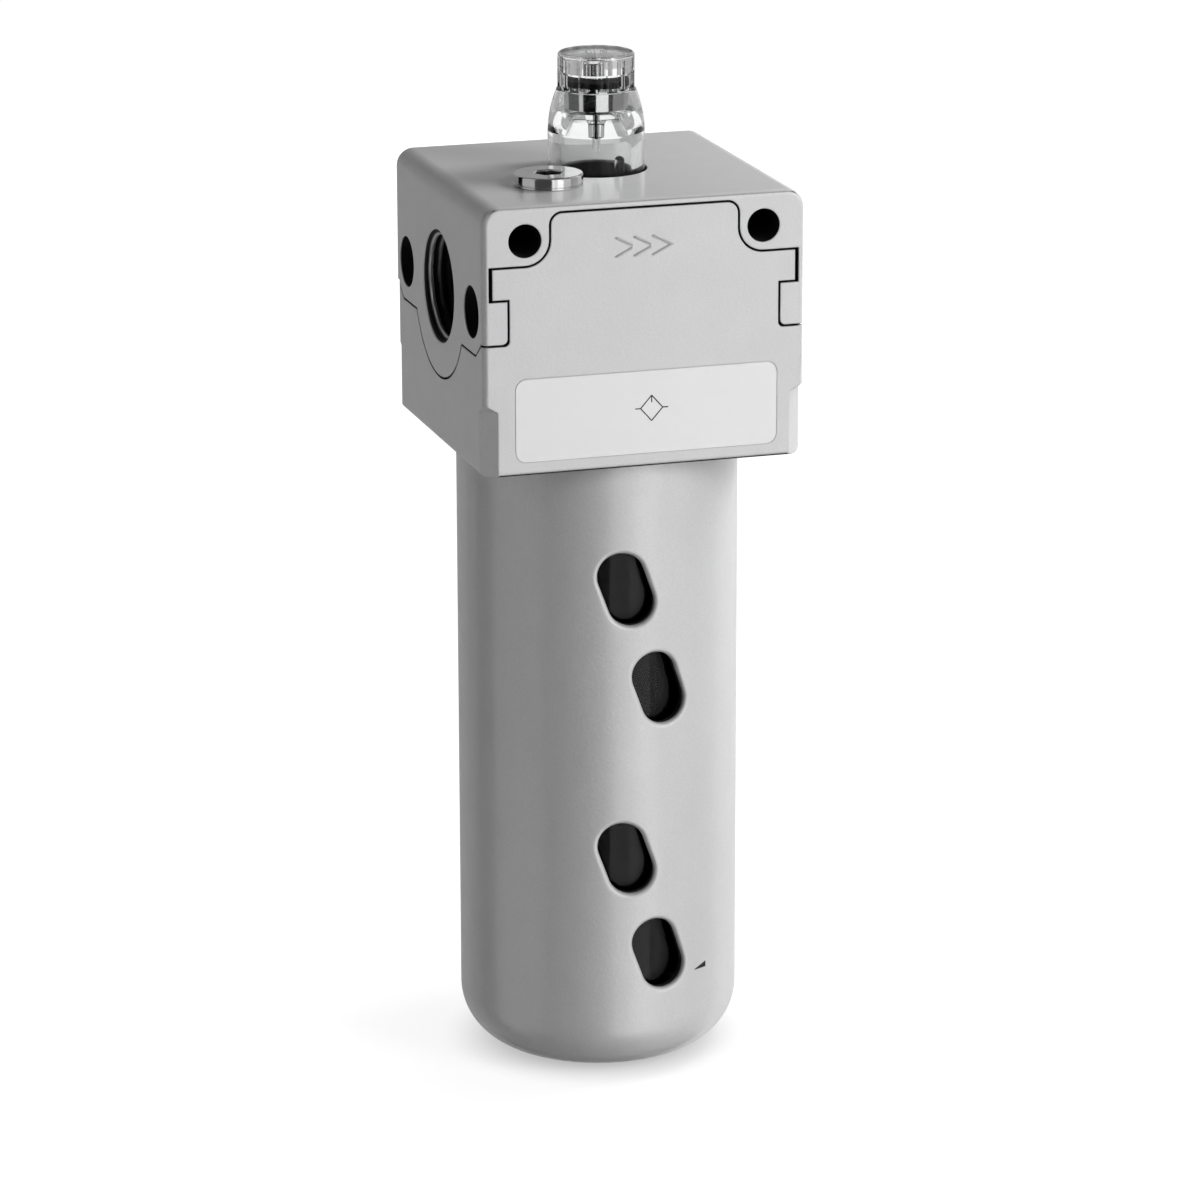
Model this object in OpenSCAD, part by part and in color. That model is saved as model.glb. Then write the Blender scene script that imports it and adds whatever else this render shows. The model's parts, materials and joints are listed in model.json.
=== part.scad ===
// Air line lubricator. Air passes through the head along +X, the front face looks to -Y,
// and the bowl guard stands on the plane Z = 0 with its axis on the Z axis.

/* [Head] */
// Width of the head along the air flow
head_w = 60; // [59:0.5:66]
// Depth of the head from the front face to the wall face
head_d = 58.3; // [58:0.1:64]
// Height of the head
head_h = 49; // [48:0.5:56]
// Radius of the two long edges of the top
top_edge_r = 3.2; // [2:0.1:4]
// Radius of the edges round the front and rear faces
face_edge_r = 1; // [0.5:0.1:1.4]
// Radius of the cover's rear corners between the tabs and the corner cuts
rear_corner_r = 2.2; // [1.2:0.1:2.6]
// Width of the flat on each lower corner, measured along a face
corner_cut = 2.7; // [1:0.1:3]
// Height of the corner flats above the underside
corner_cut_h = 12; // [6:0.5:15]
// Rise of the sloping end of a corner flat
corner_run = 1.6; // [0.5:0.1:3]

/* [Ports] */
// Radius of the threaded port, at the pitch line of a G 1/2 thread
port_r = 10; // [7:0.1:10.2]
// Depth of the threaded port
port_depth = 14; // [10:0.5:15]
// Depth of the port axis below the top face
port_drop = 20; // [19.5:0.1:21]
// Radius of the air passage between the ports
passage_r = 8.1; // [7.6:0.1:8.3]
// Radius of the port boss that the cover is cut round
boss_r = 17; // [15:0.1:17.5]
// Size of the countersink at each port
port_mouth = 0.5; // [0.2:0.1:0.8]

/* [Fixing holes] */
// Radius of the two wall fixing holes
wall_hole_r = 3.05; // [2.2:0.05:3.2]
// Distance of each wall fixing hole from the side face
wall_hole_side = 7.8; // [7.5:0.1:8.5]
// Depth of the wall fixing holes below the top face
wall_hole_drop = 6.2; // [5.8:0.1:6.4]
// Radius of the blind holes that join neighbouring units
side_hole_r = 4.75; // [3:0.05:4.8]
// Distance of each blind side hole from the front or rear face
side_hole_face = 7.45; // [7.3:0.05:8.5]
// Depth of the blind side holes
side_hole_depth = 16; // [8:0.5:18]

/* [Cover] */
// Wall of the cover
cover_wall = 1.8; // [1.2:0.1:1.9]
// Thickness of the cover's floor
cover_floor = 2; // [1.5:0.1:2.6]
// Clearance behind the cover's walls
cover_fit = 0.1; // [0.05:0.05:0.2]
// Width of the seam between the body and the cover
seam_gap = 0.42; // [0.2:0.01:0.6]
// Depth of the seam below the top face
seam_drop = 1.62; // [1.4:0.01:2.5]
// Radius of the upper corners of the cover's front plate
plate_corner_r = 2; // [1:0.1:3]
// Radius of the body's ear round each wall fixing hole
ear_r = 4.85; // [4.2:0.05:5]
// Height of the cover's lug above each tab of the body
lug_h = 5.5; // [4:0.1:6]
// Width of the strip of body left outside each lug
strip_w = 1.5; // [1:0.1:2]
// Width of each locking tab of the body
tab_w = 4.93; // [4:0.01:6]
// Height of each locking tab
tab_h = 8.5; // [6:0.1:9]
// Radius of the lower inner corner of each tab
tab_corner_r = 1; // [0.3:0.1:2]
// Depth of the side seam below the top face
side_seam_drop = 27.7; // [26.6:0.1:28.4]
// Distance of the side seam's ramp from the front and rear faces
ramp_start = 1.2; // [0.6:0.1:2]
// Length of the side seam's ramp
ramp_run = 3.7; // [2:0.1:5]
// Gap between the cover's floor and the guard
guard_gap = 0.35; // [0.2:0.05:0.5]

/* [Flow arrows and label] */
// Half the height of a flow arrow
arrow_h = 1.87; // [1:0.01:2.5]
// Place of the first flow arrow's tail along the air flow
arrow_x = -5.2; // [-8:0.1:-3]
// Depth of the flow arrows below the top face
arrow_drop = 8.42; // [6:0.01:10]
// Length of a flow arrow
arrow_l = 3.73; // [2:0.01:5]
// Distance from one flow arrow to the next
arrow_pitch = 3.44; // [2:0.01:5]
// Length at which the first two arrows are cut short
arrow_cut = 2.87; // [1.5:0.01:3.7]
// Width of the raised line of the arrows
arrow_line = 0.38; // [0.2:0.02:0.6]
// Height of the raised line of the arrows
arrow_rise = 0.15; // [0.1:0.05:0.3]
// Place of the label's middle along the air flow
label_x = 0.4; // [0:0.1:0.5]
// Distance of the label from the side faces
label_side = 5.55; // [5:0.05:15]
// Height of the label
label_h = 15.1; // [8:0.1:16]
// Depth of the label's upper edge below the top face
label_drop = 31.3; // [30:0.1:32]
// Corner radius of the label
label_corner_r = 2; // [0.5:0.1:3]
// Thickness of the label
label_t = 0.15; // [0.1:0.05:0.2]
// Depth of the shallow pocket that the label lies in
label_pocket = 0.1; // [0.05:0.05:0.15]

/* [Bowl guard] */
// Height of the head's underside above the standing plane
guard_h = 118.5; // [105:0.5:150]
// Distance of the guard's wall behind the front face
guard_inset = 3.15; // [2.95:0.05:3.4]
// Wall of the guard
guard_wall = 2.4; // [1.8:0.1:2.6]
// Outer radius of the rounding at the guard's foot
foot_r = 11; // [6:0.5:14]
// Step from the guard's wall in to its threaded neck
neck_step = 0.8; // [0.6:0.05:1]
// Half the width of a sight slot
slot_r = 4.35; // [3:0.05:5]
// Length of the straight part of a sight slot
slot_straight = 5.4; // [2:0.1:9]
// Lean of the sight slots from the vertical
slot_lean = 20; // [0:1:30]
// Angle of the middle of the slot rows from the front
slot_turn = 2; // [-5:0.5:5]
// Angle of each slot from the middle of its row
slot_side = 7.2; // [5:0.1:10]
// Height of the middle of the lower pair of slots
slot_low_z = 33.6; // [30:0.1:36]
// Distance from the lower pair of slots to the upper pair
slot_pair_pitch = 51.5; // [45:0.5:52]
// Difference in height between the two slots of a pair
slot_step = 19.2; // [14:0.1:22]
// Width of the countersunk lip round a slot
slot_lip = 0.9; // [0.3:0.1:1.2]

/* [Inner bowl] */
// Clearance between the guard and the bowl
bowl_gap = 0.6; // [0.3:0.1:1]
// Wall of the bowl
bowl_wall = 2; // [1.5:0.1:2.4]
// Clearance of the bowl's flange in the thread of the guard
flange_play = 0.25; // [0.15:0.05:0.4]
// Thickness of the bowl's flange
flange_t = 2; // [1.5:0.1:2.5]
// Height of the spigot above the seal's seat
spigot_h = 2.5; // [2:0.1:3]
// Radius of the section of the bowl seal
bowl_seal_r = 0.9; // [0.7:0.05:0.95]

/* [Manifold] */
// Outer radius of the manifold
manifold_r = 12.5; // [12:0.1:12.6]
// Radius of the manifold's flange
manifold_flange_r = 18; // [17.4:0.1:18.4]
// Thickness of the manifold's flange
manifold_flange_t = 2.9; // [2.4:0.1:3.2]
// Width of the manifold's flange
manifold_flange_w = 17; // [14:0.5:18]
// Radius of the air duct through the manifold
duct_r = 7; // [6.8:0.05:7.1]
// Height of the flat roof of the duct above the port axis
duct_roof = 4.3; // [4.1:0.1:4.8]
// Outer radius of the venturi jet
jet_r = 1.55; // [1.2:0.05:1.6]
// Radius of the bore of the venturi jet
jet_bore_r = 0.8; // [0.5:0.05:0.9]
// Height of the venturi jet above the port axis
jet_z = 6.3; // [6.2:0.1:6.6]
// Distance of the oil channel behind the middle
riser_y = 8.6; // [8.4:0.1:8.8]
// Radius of the oil channel
riser_r = 0.7; // [0.4:0.1:0.8]

/* [Flow flap] */
// Radius of the flap
flap_r = 6.6; // [6:0.05:6.6]
// Thickness of the flap
flap_t = 0.8; // [0.5:0.1:1.2]
// Distance of the flap's pin before the middle
flap_x = 3; // [2:0.1:4]
// Height of the flap's pin above the port axis
flap_z = 2.7; // [2:0.1:2.8]
// Outer radius of the flap's knuckle
knuckle_r = 1.3; // [1:0.05:1.35]
// Radius of the flap's pin
pin_r = 0.75; // [0.5:0.05:0.8]

/* [Check valve and siphon tube] */
// Radius of the check ball
ball_r = 1.5; // [1.2:0.05:1.6]
// Radius of the hole in the ball's seat
seat_hole_r = 0.9; // [0.6:0.05:1]
// Outer radius of the ball's seat
seat_r = 2.6; // [2.4:0.05:2.8]
// Lift of the check ball
ball_lift = 1.4; // [0.8:0.1:1.5]
// Outer radius of the siphon tube
tube_r = 2.6; // [2.2:0.1:3]
// Wall of the siphon tube
tube_wall = 0.95; // [0.7:0.05:1.1]
// Radius of the strainer
strainer_r = 4.2; // [3.6:0.1:5]
// Height of the strainer
strainer_h = 13; // [8:0.5:16]
// Height of the strainer above the bowl's floor
strainer_gap = 3; // [1:0.5:6]

/* [Sight dome] */
// Radius of the hole in the top for the dome
dome_hole_r = 9.3; // [9.2:0.05:9.6]
// Radius of the dome where it leaves the head
dome_r = 8.85; // [8.6:0.05:8.9]
// Radius of the fluted neck
dome_neck_r = 7; // [6.8:0.1:7.3]
// Height of the dome above the top face
dome_h = 21.4; // [20.5:0.1:24]
// Height at which the neck begins above the top face
neck_z = 14.7; // [14.2:0.1:15.2]
// Height at which the shoulder begins above the top face
shoulder_z = 6.3; // [5:0.1:7]
// Radius of the chamber that the drops fall through
chamber_r = 6.5; // [6:0.1:6.6]
// Number of flutes round the neck
flutes = 12; // [8:1:16]
// Radius of the tool that cuts a flute
flute_r = 1.25; // [0.9:0.05:1.6]
// Depth of a flute
flute_depth = 0.38; // [0.2:0.02:0.5]
// Angle of the first flute from the air flow
flute_turn = 23; // [0:1:29]
// Height of the oil riser's rounded end above the top face
riser_end_z = 3.2; // [1:0.1:4]
// Radius of the oil riser on the wall of the chamber
riser_end_r = 0.75; // [0.5:0.05:0.8]
// Radius of the dome's threaded end
dome_thread_r = 7.9; // [7.6:0.05:8]
// Depth of the dome's flange below the top face
dome_flange_drop = 4; // [3.5:0.1:4.4]
// Length of the dome's threaded end
dome_thread_l = 5; // [3.5:0.5:5]
// Radius of the section of the dome seal
dome_seal_r = 0.6; // [0.4:0.05:0.65]

/* [Regulating screw] */
// Radius of the screw's metal body
screw_r = 5.6; // [5.2:0.05:5.65]
// Height of the underside of the screw's body above the top face
screw_z = 10; // [9.8:0.1:10.4]
// Length of the screw's body
screw_l = 4.5; // [3.5:0.1:4.7]
// Thickness of the ring on top of the screw's body
ring_t = 2.1; // [1.5:0.1:2.4]
// Radius of the screw's stem
stem_r = 1.85; // [1.4:0.05:2]
// Radius of the needle under the screw
needle_r = 0.45; // [0.3:0.05:0.6]
// Length of the needle
needle_l = 4; // [3:0.1:4.2]
// Lift of the regulating screw
regulate_h = 1; // [0.5:0.1:1.2]
// Radius of the drip nozzle's tip
nozzle_r = 0.95; // [0.8:0.05:1.2]
// Height of the drip nozzle's tip above the top face
nozzle_z = 3.2; // [2:0.1:4]

/* [Filler plug] */
// Place of the filler plug along the air flow
filler_x = -12.6; // [-12.8:0.1:-12.4]
// Place of the filler plug from front to rear
filler_y = -11.75; // [-12.5:0.05:-11.6]
// Radius of the plug's flange
plug_r = 6.25; // [6:0.05:6.6]
// Height of the plug's flange
plug_h = 2.2; // [1.6:0.1:3]
// Radius of the plug's threaded shank
shank_r = 4.7; // [4.2:0.05:4.75]
// Length of the plug's shank
shank_l = 6; // [4:0.5:6.5]
// Width of the hexagon socket across its flats
socket_w = 4.6; // [3:0.1:5]
// Depth of the hexagon socket
socket_depth = 3.2; // [2:0.1:4]
// Radius of the section of the plug's seal
plug_seal_r = 0.55; // [0.4:0.05:0.58]
// Radius of the filling channel below the shank
fill_r = 2.6; // [2:0.1:2.8]

/* [Hidden] */
$fn = 96;

// Clearance of a part that turns or slides in its bore
running = 0.05;
// Clearance of a part that is pressed or glued in its bore
snug = 0.02;
// Clearance between parts that meet flat
face_gap = 0.1;
// Overrun of a cutter past the face that it cuts
over = 1;
// Overlap of two solids that become one
weld = 0.01;

// Heights above the standing plane
top_z = guard_h + head_h;
port_z = top_z - port_drop;
ceiling_wall = 2.7;
ceiling_z = port_z - port_r - ceiling_wall;
spigot_room = 0.5;
seat_z = ceiling_z - spigot_h - spigot_room;
seal_room = 0.3;
flange_top = seat_z - seal_room - 2 * bowl_seal_r;
guard_top = flange_top - flange_t - face_gap;
skirt_room = 0.8;
skirt_z = guard_h + cover_floor + skirt_room;
shoulder_gap = 0.3;
side_seam_z = top_z - side_seam_drop;

// Fixing holes and label
wall_hole_x = head_w / 2 - wall_hole_side;
side_hole_y = head_d / 2 - side_hole_face;
label_w = head_w - 2 * label_side;

// Front seam
tab_x = head_w / 2 - tab_w;
shelf_drop = wall_hole_drop + ear_r;
lug_drop = shelf_drop + lug_h;
tab_drop = lug_drop + tab_h;
recess = cover_wall + cover_fit;

// Guard, bowl and their fits in the head
guard_r = min(head_w, head_d) / 2 - guard_inset;
neck_r = guard_r - neck_step;
flange_r = neck_r - flange_play;
bowl_r = guard_r - guard_wall - bowl_gap;
bowl_floor_z = guard_wall + bowl_gap;
bowl_foot_r = foot_r - guard_wall - bowl_gap;
neck_bore_r = neck_r + running;
spigot_bore_r = bowl_r + seal_room;
skirt_r = head_w / 2 - recess - seal_room;

// Manifold, its screws and its seal
manifold_bore_r = manifold_r + running;
manifold_z = ceiling_z - face_gap;
manifold_rise = 9.8;
manifold_top = port_z + manifold_rise;
manifold_screw_r = 1.5;
manifold_screw_y = 14.9;
manifold_screw_l = 6;
screw_head_r = 2.8;
screw_head_t = 2;
screw_key_r = 1.45;
screw_key_depth = 1.2;
manifold_seal_r = 0.8;
manifold_seal_z = ceiling_z + 1.2;
funnel_depth = 1.2;
funnel_r = 6.2;
drip_x = 2;

// Venturi jet and flow flap
jet_half = sqrt(manifold_r * manifold_r - jet_r * jet_r) - face_gap;
jet_cone_l = 3;
jet_lip = 0.2;
knuckle_half = 4.5;
pin_half = 8.5;

// Check valve, siphon tube and strainer
seat_rise = 0.2;
seat_top = manifold_z + seat_rise;
ball_rest = 0.04;
ball_z = seat_top + sqrt(ball_r * ball_r - seat_hole_r * seat_hole_r) + ball_rest;
ball_room = 0.6;
ball_room_top = ball_z + ball_r + ball_lift + face_gap;
barb_l = 7;
barb_r = tube_r - tube_wall - snug;
barb_z = manifold_z - manifold_flange_t;
strainer_z = bowl_floor_z + bowl_wall + strainer_gap;
strainer_floor = 2;
strainer_foot_r = 1;
tube_low_z = strainer_z + strainer_h / 2;

// Sight dome, nozzle and regulating screw, as heights above the top face
dome_seat_z = top_z - dome_flange_drop;
dome_bore_r = screw_r + running;
chamber_z = shoulder_z + 0.7;
chamber_roof = screw_z - 0.5;
bore_top = screw_z + screw_l + ring_t + regulate_h + 0.3;
dome_rim_r = 0.65;
shoulder_tilt = 22;
flute_low = neck_z + 0.3;
flute_high = dome_h - 0.8;
riser_angle = -66;
riser_inset = 0.1;
nozzle_top = screw_z - 0.35;
nozzle_disc_r = 4.2;
nozzle_rim = 0.2;
screw_slot_w = 0.6;
screw_slot_depth = 1;
stem_top = dome_h - regulate_h - 0.7;
needle_tip_r = 0.08;
needle_tip_l = 1;

// Filler plug
plug_edge = 0.35;
plug_groove = 0.2;
shank_edge = 0.5;
shank_room = 0.5;
plug_seal_room = 0.15;

// Half of a square with its corner rounded off, to be cut from an edge
module corner(r) {
  difference() {
    translate([-weld, -weld]) square(r + weld);
    translate([r, r]) circle(r);
  }
}

// Outline of the head from the front, drawn in from its edge by inset
module head_outline(inset) {
  half = head_w / 2 - inset;
  low = face_edge_r - inset;
  difference() {
    translate([-half, guard_h + inset]) square([2 * half, head_h - 2 * inset]);
    for (s = [0, 1]) mirror([s, 0]) {
      translate([-half, top_z - inset]) mirror([0, 1]) corner(top_edge_r - inset);
      if (low > 0) translate([-half, guard_h + inset]) corner(low);
    }
  }
}

// Head block with all its outer edges rounded
module head_block() {
  e = face_edge_r;
  rotate([90, 0, 0]) linear_extrude(head_d - 2 * e, center = true) head_outline(0);
  rotate([90, 0, 0]) linear_extrude(head_d, center = true) head_outline(e);
  for (f = [-1, 1]) translate([0, f * (head_d / 2 - e), 0]) {
    for (s = [-1, 1]) {
      translate([s * (head_w / 2 - e), 0, guard_h + e]) {
        cylinder(r = e, h = head_h - e - top_edge_r);
        sphere(e);
      }
      translate([s * (head_w / 2 - top_edge_r), 0, top_z - top_edge_r])
        rotate([90, 0, 0]) rotate([0, 0, s > 0 ? 0 : 90])
          rotate_extrude(angle = 90) translate([top_edge_r - e, 0]) circle(e);
    }
    translate([top_edge_r - head_w / 2, 0, top_z - e])
      rotate([0, 90, 0]) cylinder(r = e, h = head_w - 2 * top_edge_r);
    translate([e - head_w / 2, 0, guard_h + e])
      rotate([0, 90, 0]) cylinder(r = e, h = head_w - 2 * e);
  }
}

// Flat on one lower corner, with its sloping end
module corner_cutter() {
  reach = corner_cut / sqrt(2);
  slope = corner_run / reach;
  translate([head_w / 2, head_d / 2, guard_h]) rotate([0, 0, 45]) translate([-reach, 0, 0])
    rotate([90, 0, 0]) linear_extrude(3 * corner_cut, center = true)
      polygon([
        [0, -over], [2 * reach, -over],
        [2 * reach, corner_cut_h + 2 * reach * slope], [0, corner_cut_h]
      ]);
}

module head_shape() {
  difference() {
    head_block();
    for (i = [0, 1], j = [0, 1]) mirror([i, 0, 0]) mirror([0, j, 0]) corner_cutter();
  }
}

// Front and rear plate of the cover, seen from the front and grown by g
module plate_outline(g) {
  field_x = wall_hole_x - ear_r + g;
  corner_r = plate_corner_r + g;
  translate([0, top_z]) {
    difference() {
      translate([-field_x, -shelf_drop]) square([2 * field_x, shelf_drop - seam_drop + g]);
      for (s = [0, 1]) mirror([s, 0])
        translate([-field_x, g - seam_drop]) mirror([0, 1]) corner(corner_r);
    }
    for (s = [0, 1]) mirror([s, 0]) difference() {
      translate([0, -shelf_drop]) square([wall_hole_x, ear_r]);
      translate([wall_hole_x, -wall_hole_drop]) circle(ear_r - g);
    }
    lug_x = head_w / 2 - strip_w + g;
    translate([-lug_x, -lug_drop - g]) square([2 * lug_x, lug_h + 2 * g]);
    waist_x = tab_x + g;
    translate([-waist_x, -tab_drop]) square([2 * waist_x, tab_h]);
    for (s = [0, 1]) mirror([s, 0]) translate([waist_x, g - tab_drop]) corner(tab_corner_r);
    translate([-head_w, -head_h - over]) square([2 * head_w, head_h + over - tab_drop + g]);
  }
}

// Side walls of the cover, seen from the side and grown by g
module side_outline(g) {
  ramp_end = head_d / 2 - ramp_start;
  flat_end = ramp_end - ramp_run;
  upper = g - tab_drop;
  lower = g - side_seam_drop;
  translate([0, top_z]) difference() {
    polygon([
      [-head_d, -head_h - over], [head_d, -head_h - over], [head_d, upper], [ramp_end, upper],
      [flat_end, lower], [-flat_end, lower], [-ramp_end, upper], [-head_d, upper]
    ]);
    translate([0, -port_drop]) circle(boss_r - g);
  }
}

// Space of the cover's four walls, grown by g at the seam and reaching depth in from the faces
module cover_walls(g, depth) {
  for (f = [0, 1]) mirror([0, f, 0]) translate([0, depth - head_d / 2, 0])
    rotate([90, 0, 0]) linear_extrude(depth + over) plate_outline(g);
  for (s = [0, 1]) mirror([s, 0, 0]) translate([head_w / 2 - depth, 0, 0])
    rotate([90, 0, 90]) linear_extrude(depth + over) side_outline(g);
}

// Room inside the cover, with its corners filled behind the corner flats
module cover_room() {
  rx = head_w / 2 - cover_wall;
  ry = head_d / 2 - cover_wall;
  c = corner_cut - (2 - sqrt(2)) * cover_wall;
  translate([0, 0, guard_h + cover_floor]) linear_extrude(head_h)
    polygon([
      [-rx, -ry + c], [-rx + c, -ry], [rx - c, -ry], [rx, -ry + c],
      [rx, ry - c], [rx - c, ry], [-rx + c, ry], [-rx, ry - c]
    ]);
}

module port_axis(s) {
  translate([0, 0, port_z]) rotate([0, s * 90, 0]) children();
}

module upper_body() {
  color([0.70, 0.70, 0.71]) difference() {
    union() {
      intersection() {
        head_shape();
        translate([-head_w, -head_d, side_seam_z + seam_gap]) cube([2 * head_w, 2 * head_d, head_h]);
      }
      intersection() {
        translate([0, 0, skirt_z]) cylinder(r = skirt_r, h = side_seam_z + over - skirt_z);
        translate([-head_w, recess - head_d / 2, skirt_z])
          cube([2 * head_w, head_d - 2 * recess, head_h]);
      }
      intersection() {
        port_axis(1) cylinder(r = boss_r - seam_gap, h = 2 * head_w, center = true);
        head_shape();
      }
    }
    cover_walls(seam_gap, recess);
    port_bores();
    fixing_holes();
    bowl_socket();
    dome_socket();
    filler_socket();
  }
}

module port_bores() {
  for (s = [-1, 1]) port_axis(s) {
    translate([0, 0, head_w / 2 - port_depth]) cylinder(r = port_r, h = port_depth + over);
    translate([0, 0, head_w / 2 - port_mouth])
      cylinder(r1 = port_r, r2 = port_r + 2 * port_mouth, h = 2 * port_mouth);
    cylinder(r = passage_r, h = head_w / 2 - over);
  }
}

module fixing_holes() {
  for (s = [-1, 1]) {
    translate([s * wall_hole_x, 0, top_z - wall_hole_drop])
      rotate([90, 0, 0]) cylinder(r = wall_hole_r, h = head_d + 2 * over, center = true);
    for (f = [-1, 1]) translate([0, f * side_hole_y, 0]) port_axis(s)
      translate([0, 0, head_w / 2 - side_hole_depth]) cylinder(r = side_hole_r, h = side_hole_depth + over);
  }
}

// Threaded socket of the guard, seat of the bowl seal and bore of the manifold
module bowl_socket() {
  translate([0, 0, skirt_z - over]) cylinder(r = neck_bore_r, h = seat_z - skirt_z + over);
  translate([0, 0, skirt_z]) cylinder(r = spigot_bore_r, h = ceiling_z - skirt_z);
  translate([0, 0, skirt_z]) cylinder(r = manifold_bore_r, h = manifold_top + face_gap - skirt_z);
  for (s = [-1, 1]) translate([0, s * manifold_screw_y, skirt_z])
    cylinder(r = manifold_screw_r + running, h = ceiling_z - skirt_z + manifold_screw_l);
}

module dome_socket() {
  translate([0, 0, manifold_top]) cylinder(r = dome_thread_r + running, h = head_h);
  translate([0, 0, dome_seat_z - 2 * dome_seal_r]) cylinder(r = dome_hole_r, h = head_h);
}

module filler_socket() {
  translate([filler_x, filler_y, 0]) {
    translate([0, 0, top_z - shank_l - shank_room])
      cylinder(r = shank_r + running, h = shank_l + over);
    translate([0, 0, top_z - 2 * plug_seal_r - face_gap])
      cylinder(r = shank_r + 2 * plug_seal_r + plug_seal_room, h = 2 * plug_seal_r + over);
    translate([0, 0, skirt_z]) cylinder(r = fill_r, h = head_h);
  }
}

module lower_cover() {
  color([0.74, 0.74, 0.75]) {
    difference() {
      head_shape();
      above_cover();
      cover_room();
      port_axis(1) cylinder(r = boss_r, h = 2 * head_w, center = true);
      translate([0, 0, guard_h - over]) cylinder(r = guard_r + guard_gap, h = head_h);
      rear_corners();
      translate([0, label_pocket - head_d / 2, 0]) rotate([90, 0, 0])
        linear_extrude(over) label_outline(face_gap);
    }
    flow_arrows();
  }
}

// Everything of the head block that stands above the cover's walls
module above_cover() {
  rx = head_w / 2 - cover_wall;
  ry = head_d / 2 - cover_wall;
  all = 2 * head_w;
  for (f = [0, 1]) mirror([0, f, 0]) translate([0, -ry, 0])
    rotate([90, 0, 0]) linear_extrude(cover_wall + over) difference() {
      translate([-all / 2, guard_h + over]) square([all, head_h]);
      plate_outline(0);
    }
  for (s = [0, 1]) mirror([s, 0, 0]) translate([rx, 0, 0])
    rotate([90, 0, 90]) linear_extrude(cover_wall + over) difference() {
      translate([-all / 2, guard_h + over]) square([all, head_h]);
      side_outline(0);
    }
  translate([-rx, -ry, side_seam_z - over]) cube([2 * rx, 2 * ry, head_h]);
}

// Larger rounding of the cover's rear corners, under the tabs
module rear_corners() {
  for (s = [0, 1]) mirror([s, 0, 0]) translate([-head_w / 2, head_d / 2, guard_h]) mirror([0, 1, 0])
    linear_extrude(head_h - tab_drop) corner(rear_corner_r);
}

// Three raised arrowheads: two cut short and one whole
module flow_arrows() {
  high = arrow_h + over;
  for (i = [0, 1, 2]) translate([arrow_x + i * arrow_pitch, over - head_d / 2, top_z - arrow_drop])
    rotate([90, 0, 0]) linear_extrude(arrow_rise + over) intersection() {
      arrowhead();
      translate([-over, -high]) square([(i < 2 ? arrow_cut : arrow_l) + over, 2 * high]);
    }
}

module arrowhead() {
  t = arrow_line;
  k = t * arrow_l / arrow_h;
  for (s = [0, 1]) mirror([0, s])
    polygon([[0, arrow_h], [arrow_l, 0], [arrow_l - k, 0], [-k / 2, arrow_h - t / 2]]);
}

module label_outline(g) {
  w = label_w + 2 * g;
  h = label_h + 2 * g;
  translate([label_x - w / 2, top_z - label_drop - label_h - g]) difference() {
    square([w, h]);
    for (i = [0, 1], j = [0, 1]) translate([i * w, j * h])
      mirror([i, 0]) mirror([0, j]) corner(label_corner_r);
  }
}

module plain_label() {
  color([0.88, 0.88, 0.88]) translate([0, label_pocket - head_d / 2, 0])
    rotate([90, 0, 0]) linear_extrude(label_t) label_outline(0);
}

// Half section of a cup: height h, outer radius r, foot radius f
module cup_section(r, h, f) {
  translate([0, f]) square([r, h - f]);
  square([r - f, h]);
  intersection() {
    translate([r - f, f]) circle(f);
    square([r, h]);
  }
}

// Sight slot as a cutter along +Z through the guard's wall, with its countersunk lip
module slot_cutter() {
  half = slot_straight / 2;
  inner = guard_r - guard_wall - 2 * over;
  depth = guard_wall + 4 * over;
  lip_r = slot_r + 2 * slot_lip;
  lip_z = guard_r - slot_lip;
  module ends(z, r1, r2, h) {
    for (s = [-1, 1]) translate([s * half, 0, z]) cylinder(r1 = r1, r2 = r2, h = h);
  }
  ends(inner, slot_r, slot_r, depth);
  translate([-half, -slot_r, inner]) cube([slot_straight, 2 * slot_r, depth]);
  ends(lip_z, slot_r, lip_r, 2 * slot_lip);
  translate([-half, 0, lip_z]) rotate([90, 0, 90]) linear_extrude(slot_straight)
    polygon([[-slot_r, 0], [slot_r, 0], [lip_r, 2 * slot_lip], [-lip_r, 2 * slot_lip]]);
}

module sight_slots() {
  for (row = [0, 1], side = [-1, 1])
    translate([0, 0, slot_low_z + row * slot_pair_pitch - side * slot_step / 2])
      rotate([0, 0, slot_turn + side * slot_side - 90]) rotate([0, 90, 0])
        rotate([0, 0, slot_lean]) slot_cutter();
}

module bowl_guard() {
  inner_r = guard_r - guard_wall;
  color([0.72, 0.72, 0.73]) difference() {
    rotate_extrude() difference() {
      union() {
        cup_section(guard_r, skirt_z - shoulder_gap, foot_r);
        translate([0, foot_r]) square([neck_r, guard_top - foot_r]);
      }
      translate([0, guard_wall]) cup_section(inner_r, guard_top, foot_r - guard_wall);
    }
    for (turn = [0, 180]) rotate([0, 0, turn]) sight_slots();
  }
}

module inner_bowl() {
  color([0.85, 0.87, 0.88, 0.45]) rotate_extrude() difference() {
    union() {
      translate([0, bowl_floor_z]) cup_section(bowl_r, seat_z + spigot_h - bowl_floor_z, bowl_foot_r);
      translate([0, flange_top - flange_t]) square([flange_r, flange_t]);
    }
    translate([0, bowl_floor_z + bowl_wall])
      cup_section(bowl_r - bowl_wall, top_z, bowl_foot_r - bowl_wall);
  }
}

module seal_ring(inner_r, section_r, z) {
  color([0.08, 0.08, 0.08]) translate([0, 0, z + section_r])
    rotate_extrude() translate([inner_r + section_r, 0]) circle(section_r);
}

module bowl_seal() {
  seal_ring(bowl_r + face_gap, bowl_seal_r, flange_top);
}

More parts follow.
